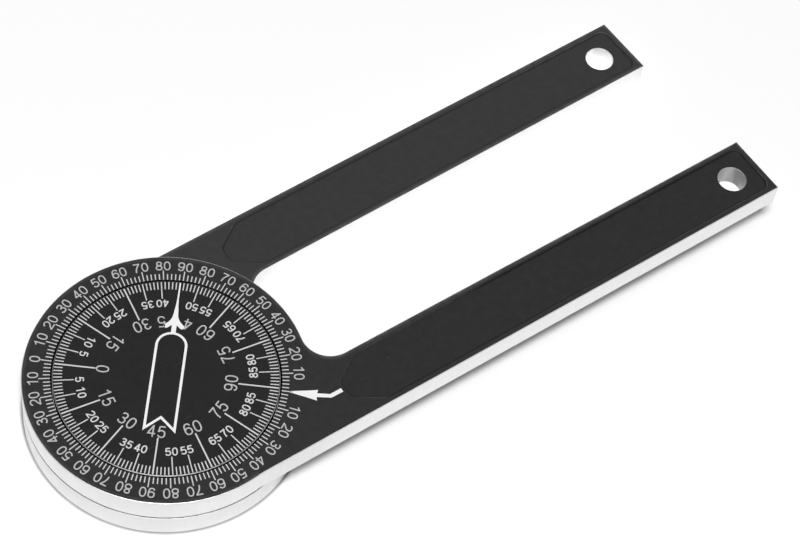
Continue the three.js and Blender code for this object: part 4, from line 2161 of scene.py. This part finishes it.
@dataclass(frozen=True)
class InnerScale(RoundScale):
    """Marks, numbers and banner on the dial.

    Attributes:
        root_share: Outer end of all marks.
        short_share: Inner end of a short mark.
        medium_share: Inner end of a five-unit mark.
        long_share: Inner end of a fifteen-unit mark.
        small_share: Middle of the small numbers.
        small_height: Height of a small figure.
        large_share: Middle of the large numbers.
        large_height: Height of a large figure.
        long_width: Width of a long mark.
        needle_at: Degrees from the zero to the needle.
        split: Degrees from the needle to each figure beside it.
        tail_shift: Degrees that the number at the banner's tails stands off its mark.
        banner_half: Half the banner's width, as a share like those below.
        banner_nose: Middle of the banner's round end.
        banner_tail: Tips of the banner's tails.
        banner_notch: Notch between them.
        banner_line: Width of the banner's outline.
        needle_half: Half the needle's width.
    """

    root_share: float = 0.7865
    short_share: float = 0.725
    medium_share: float = 0.645
    long_share: float = 0.5
    small_share: float = 0.605
    small_height: float = 2.0
    large_share: float = 0.4505
    large_height: float = 3.0
    long_width: float = 0.34
    needle_at: float = 90.0
    split: float = 11.85
    tail_shift: float = 1.95
    banner_half: float = 0.1045
    banner_nose: float = 0.25
    banner_tail: float = -0.432
    banner_notch: float = -0.336
    banner_line: float = 0.018
    needle_half: float = 0.0055

    def build(self) -> list[Piece]:
        """Builds the marks, the numbers and the banner."""
        pieces = [self.marks(), self.small_numbers(), self.large_numbers(), self.banner()]
        return [self.dressed(piece) for piece in pieces]

    def dressed(self, piece: Piece) -> Piece:
        """Sets the print on the lower body, which the dial turns with."""
        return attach(piece, Body.LOWER.value)

    def marks(self) -> Piece:
        """Builds the marks of the inner scale, with none at the needle.

        Returns:
            The marks as one piece.
        """
        shares = (self.root_share, self.short_share, self.medium_share, self.long_share)
        steps = (5, 15, round(self.mark_count * (1 - self.needle_at / 360)))
        return self.graduated("inner_scale_marks", DIAL_INK, shares, steps, self.long_width, 0.0)

    def small_numbers(self) -> Piece:
        """Builds the small numbers of the inner scale, with their tops to the pivot.

        Returns:
            The numbers as one piece.
        """
        sheet = InkSheet("inner_scale_small_numbers")
        ring = NumberRing(BOLD, self.small_height, self.small_share * self.unit, Tops.INWARDS)
        for step, degrees in self.tens():
            if step % 3:
                ring.print_on(sheet, str(5 * min(step, 36 - step)), degrees)
        return sheet.finished(DIAL_INK, self.sizes)

    def large_numbers(self) -> Piece:
        """Builds the large numbers, with the one at the needle split by it.

        Returns:
            The numbers as one piece.
        """
        sheet = InkSheet("inner_scale_large_numbers")
        ring = NumberRing(LARGE, self.large_height, self.large_share * self.unit, Tops.INWARDS)
        needle = self.zero - self.needle_at
        for step, degrees in self.tens()[::3]:
            text = str(5 * min(step, 36 - step))
            if degrees == needle:
                ring.print_figure(sheet, text[0], degrees - self.split)
                ring.print_figure(sheet, text[1], degrees + self.split)
            else:
                ring.print_on(sheet, text, degrees - (self.tail_shift if degrees == needle - 180 else 0))
        return sheet.finished(NUMBER_INK, self.sizes)

    def banner(self) -> Piece:
        """Builds the bare banner with the arrow that ends in a needle.

        Returns:
            The banner.
        """
        sheet = InkSheet("dial_banner")
        half, tail = self.banner_half, self.banner_tail
        arch = arc((self.banner_nose, 0), half, -math.pi / 2, math.pi / 2, SMALL_STEPS)
        edge = [*ARROW_EDGE, (self.root_share, self.needle_half)]
        outline = [(tail, -half), *arch, (tail, half), (self.banner_notch, 0)]
        shapes = stroke(outline, self.banner_line, closed=True)
        shapes.append(edge + [(u, -v) for u, v in reversed(edge)])
        sheet.add(shapes, placing(self.unit, math.radians(self.zero - self.needle_at)))
        return sheet.finished(SOLID_INK, self.sizes)


# Studio


def eye_rays(sketch: Sketch) -> tuple[Socket, Socket]:
    """Draws which rays show a thing to the eye.

    Args:
        sketch: Drawing of the tree.

    Returns:
        Mask of the camera's own rays, and mask of those, the mirror rays and the glass rays.
    """
    path = sketch.add("ShaderNodeLightPath").outputs
    camera = path["Is Camera Ray"]
    mirrored = sketch.math("MAXIMUM", camera, path["Is Glossy Ray"])
    return camera, sketch.math("MAXIMUM", mirrored, path["Is Transmission Ray"])


@dataclass(frozen=True)
class PaleFloor(Finish):
    """Floor that keeps the tool's shadow, with a painted contact shadow round the lower head and a painted
    pool of light under the upper arm's hanging hole, and lets the camera through from below.

    Attributes:
        tone: Grey level of the floor.
        lift: Light that the floor gives to camera, mirror and glass rays.
        painted_contact_shadow_tone: Grey level of the painted contact shadow that the camera sees where the
            lower head's edge meets the floor.
        painted_shadow_near: Radius that the painted contact shadow is full up to, in metres.
        painted_shadow_far: Radius that the painted contact shadow has faded at, in metres.
        painted_light_spot: Middle of the painted pool of light that glows on the floor under the upper arm's
            hanging hole, in metres.
        painted_light_near: Radius that the painted pool of light is full up to, in metres.
        painted_light_far: Radius that the painted pool of light has faded at, in metres.
    """

    tone: float = 0.95
    lift: float = 0.075
    painted_contact_shadow_tone: float = 0.35
    painted_shadow_near: float = 0.03245
    painted_shadow_far: float = 0.0331
    painted_light_spot: Point = (0.1543, -0.02265)
    painted_light_near: float = 0.0025
    painted_light_far: float = 0.0031

    def surface(self, sketch: Sketch) -> dict[str, Any]:
        """Returns a dull surface, whose tone and light are drawn together in seen()."""
        return {"Roughness": 1.0, "Specular IOR Level": 0.0}

    def seen(self, sketch: Sketch, surface: Node) -> Socket:
        """Draws the floor's tone with the painted contact shadow, its light with the painted pool of light
        under the hanging hole, and its clear underside.

        Args:
            sketch: Drawing of the material.
            surface: The surface shader.

        Returns:
            The shader that the material shows.
        """
        camera, eye = eye_rays(sketch)
        # painted shadow: the camera sees the floor darker in a ring just outside the lower head's edge
        off_painted_shadow = ROUND_ZONE.put(sketch, Near=self.painted_shadow_near, Far=self.painted_shadow_far)["Outside"]
        unshaded = sketch.math("MAXIMUM", off_painted_shadow, sketch.math("SUBTRACT", 1.0, camera))
        tone = sketch.blend(unshaded, grey(self.painted_contact_shadow_tone), grey(self.tone))
        sketch.feed(surface, {"Base Color": tone})
        # painted light: the floor glows white in a small disc under the upper arm's hanging hole
        middle = {"Axis_X": self.painted_light_spot[0], "Axis_Y": self.painted_light_spot[1]}
        off_painted_light = ROUND_ZONE.put(sketch, **middle, Near=self.painted_light_near, Far=self.painted_light_far)["Outside"]
        painted_light_spot = sketch.math("MULTIPLY", eye, sketch.math("SUBTRACT", 1.0, off_painted_light))
        lift = sketch.math("MULTIPLY", sketch.math("MULTIPLY", eye, unshaded), self.lift)
        glow = sketch.add("ShaderNodeEmission", {"Strength": sketch.math("MAXIMUM", lift, painted_light_spot)}).outputs[0]
        lit = sketch.add("ShaderNodeAddShader", {0: surface.outputs[0], 1: glow}).outputs[0]
        clear = sketch.add("ShaderNodeBsdfTransparent").outputs[0]
        behind = sketch.add("ShaderNodeNewGeometry").outputs["Backfacing"]
        return sketch.add("ShaderNodeMixShader", {0: behind, 1: lit, 2: clear}).outputs[0]


@dataclass(frozen=True)
class Studio:
    """Floor, lamp and surroundings.

    Attributes:
        floor_half: Half the side of the floor.
        floor_level: Level of the floor, just under the tool.
        sky_tone: Grey level of the surroundings for soft light.
        dark_tone: Grey level of the dark side of the room, as gloss shows it.
        open_way: Way that the bright side of the room lies in.
        open_span: Reach along that way over which the room brightens.
        height_span: Height over which the room brightens.
        key_side: Side that the large lamp shines from, in degrees as for the camera.
        key_height: Degrees of the large lamp above the floor.
        key_distance: Distance of the large lamp.
        key_target: Point that the large lamp shines at.
        key_size: Side of the large lamp.
        key_power: Power of the large lamp, in watts.
    """

    floor_half: float = 4.0
    floor_level: float = -0.00003
    sky_tone: float = 0.1
    dark_tone: float = 0.15
    open_way: tuple[float, float, float] = (0.707, 0.707, 0.0)
    open_span: tuple[float, float] = (-0.1, 0.5)
    height_span: tuple[float, float] = (0.3, 0.7)
    key_side: float = -40.0
    key_height: float = 72.0
    key_distance: float = 2.4
    key_target: tuple[float, float, float] = (0.06, 0.0, 0.0)
    key_size: float = 0.75
    key_power: float = 54.0

    def build(self) -> None:
        """Builds the floor, the surroundings and the lamp."""
        self.floor()
        self.surroundings()
        self.lamp()

    def floor(self) -> None:
        """Lays the floor just under the tool."""
        data = bpy.data.meshes.new("floor")
        h, z = self.floor_half, self.floor_level
        data.from_pydata([(-h, -h, z), (h, -h, z), (h, h, z), (-h, h, z)], [], [(0, 1, 2, 3)])
        data.materials.append(PaleFloor("pale_floor").material())
        linked("floor", data)

    def surroundings(self) -> None:
        """Makes the world white for the camera, two-sided for mirror and glass rays, and grey as a lamp."""
        world = bpy.data.worlds.new("surroundings")
        bpy.context.scene.world = world
        world.use_nodes = True
        world.node_tree.nodes.clear()
        sketch = Sketch(world.node_tree)
        camera, eye = eye_rays(sketch)
        way = sketch.add("ShaderNodeTexCoord").outputs["Generated"]
        across = sketch.add("ShaderNodeVectorMath", {0: way, 1: self.open_way}, operation="DOT_PRODUCT")
        height = sketch.add("ShaderNodeSeparateXYZ", {0: way}).outputs["Z"]
        open_side = sketch.span(across.outputs["Value"], *self.open_span)
        bright = sketch.math("MULTIPLY", open_side, sketch.span(height, *self.height_span))
        wall = sketch.span(bright, 0.0, 1.0, self.dark_tone, 1.0)
        tone = sketch.blend(eye, grey(self.sky_tone), sketch.math("MAXIMUM", camera, wall))
        back = sketch.add("ShaderNodeBackground", {"Color": tone, "Strength": 1.0})
        sketch.add("ShaderNodeOutputWorld", {"Surface": back.outputs[0]})

    def lamp(self) -> None:
        """Hangs the large square lamp that points at the tool."""
        data = bpy.data.lights.new("key_softbox", "AREA")
        data.size = self.key_size
        data.energy = self.key_power
        way = way_back(math.radians(self.key_side), math.radians(self.key_height))
        made = linked("key_softbox", data)
        made.location = Vector(self.key_target) + way * self.key_distance
        made.rotation_euler = way.to_track_quat("Z", "Y").to_euler()


def way_back(azimuth: float, elevation: float) -> Vector:
    """Returns the way from the target back to a lamp or camera, which looks along +Y at azimuth 0."""
    level = math.cos(elevation)
    return Vector((math.sin(azimuth) * level, -math.cos(azimuth) * level, math.sin(elevation)))


@dataclass(frozen=True)
class Camera:
    """The camera at the photograph's viewing angle.

    Attributes:
        azimuth: Degrees about the upright, 0 looks along +Y.
        elevation: Degrees above the floor.
        roll: Degrees that the camera leans.
        distance: Distance from the target, in millimetres.
        target: Point that the camera looks at, in millimetres.
        lens: Focal length, in millimetres.
        sensor: Width of the sensor, in millimetres.
        near: Distance before which nothing shows, in metres.
    """

    azimuth: float = -45.3048
    elevation: float = 55.6766
    roll: float = 10.8064
    distance: float = 507.759
    target: tuple[float, float, float] = (60.059, -6.846, 13.25)
    lens: float = 97.846
    sensor: float = 36.0
    near: float = 0.01

    def build(self) -> Piece:
        """Sets the camera up.

        Returns:
            The camera.
        """
        azimuth, elevation, roll = (math.radians(a) for a in (self.azimuth, self.elevation, self.roll))
        back = way_back(azimuth, elevation)
        right = (-back).cross(Vector((0, 0, 1))).normalized()
        up = right.cross(-back)
        leaned_right = right * math.cos(roll) + up * math.sin(roll)
        leaned_up = up * math.cos(roll) - right * math.sin(roll)
        data = bpy.data.cameras.new("camera")
        data.lens = self.lens
        data.sensor_width = self.sensor
        data.clip_start = self.near
        made = linked("camera", data)
        place = (Vector(self.target) + back * self.distance) * MM
        turn = Matrix((leaned_right, leaned_up, back)).transposed().to_4x4()
        made.matrix_world = Matrix.Translation(place) @ turn
        bpy.context.scene.camera = made
        return made


def main() -> None:
    """Builds the tool on its frame, then the studio and the camera."""
    logging.basicConfig(level=logging.INFO, format="%(name)s: %(message)s")
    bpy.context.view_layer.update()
    for assembly in (LowerArm(), UpperArm(), PivotStack(), Fasteners(), OuterScale(), InnerScale()):
        for piece in assembly.build():
            LOG.info("%s: %s, %d faces", type(assembly).__name__, piece.name, len(piece.data.polygons))
    Studio().build()
    Camera().build()
    bpy.context.scene.view_settings.view_transform = "Standard"


if __name__ == "__main__":
    main()
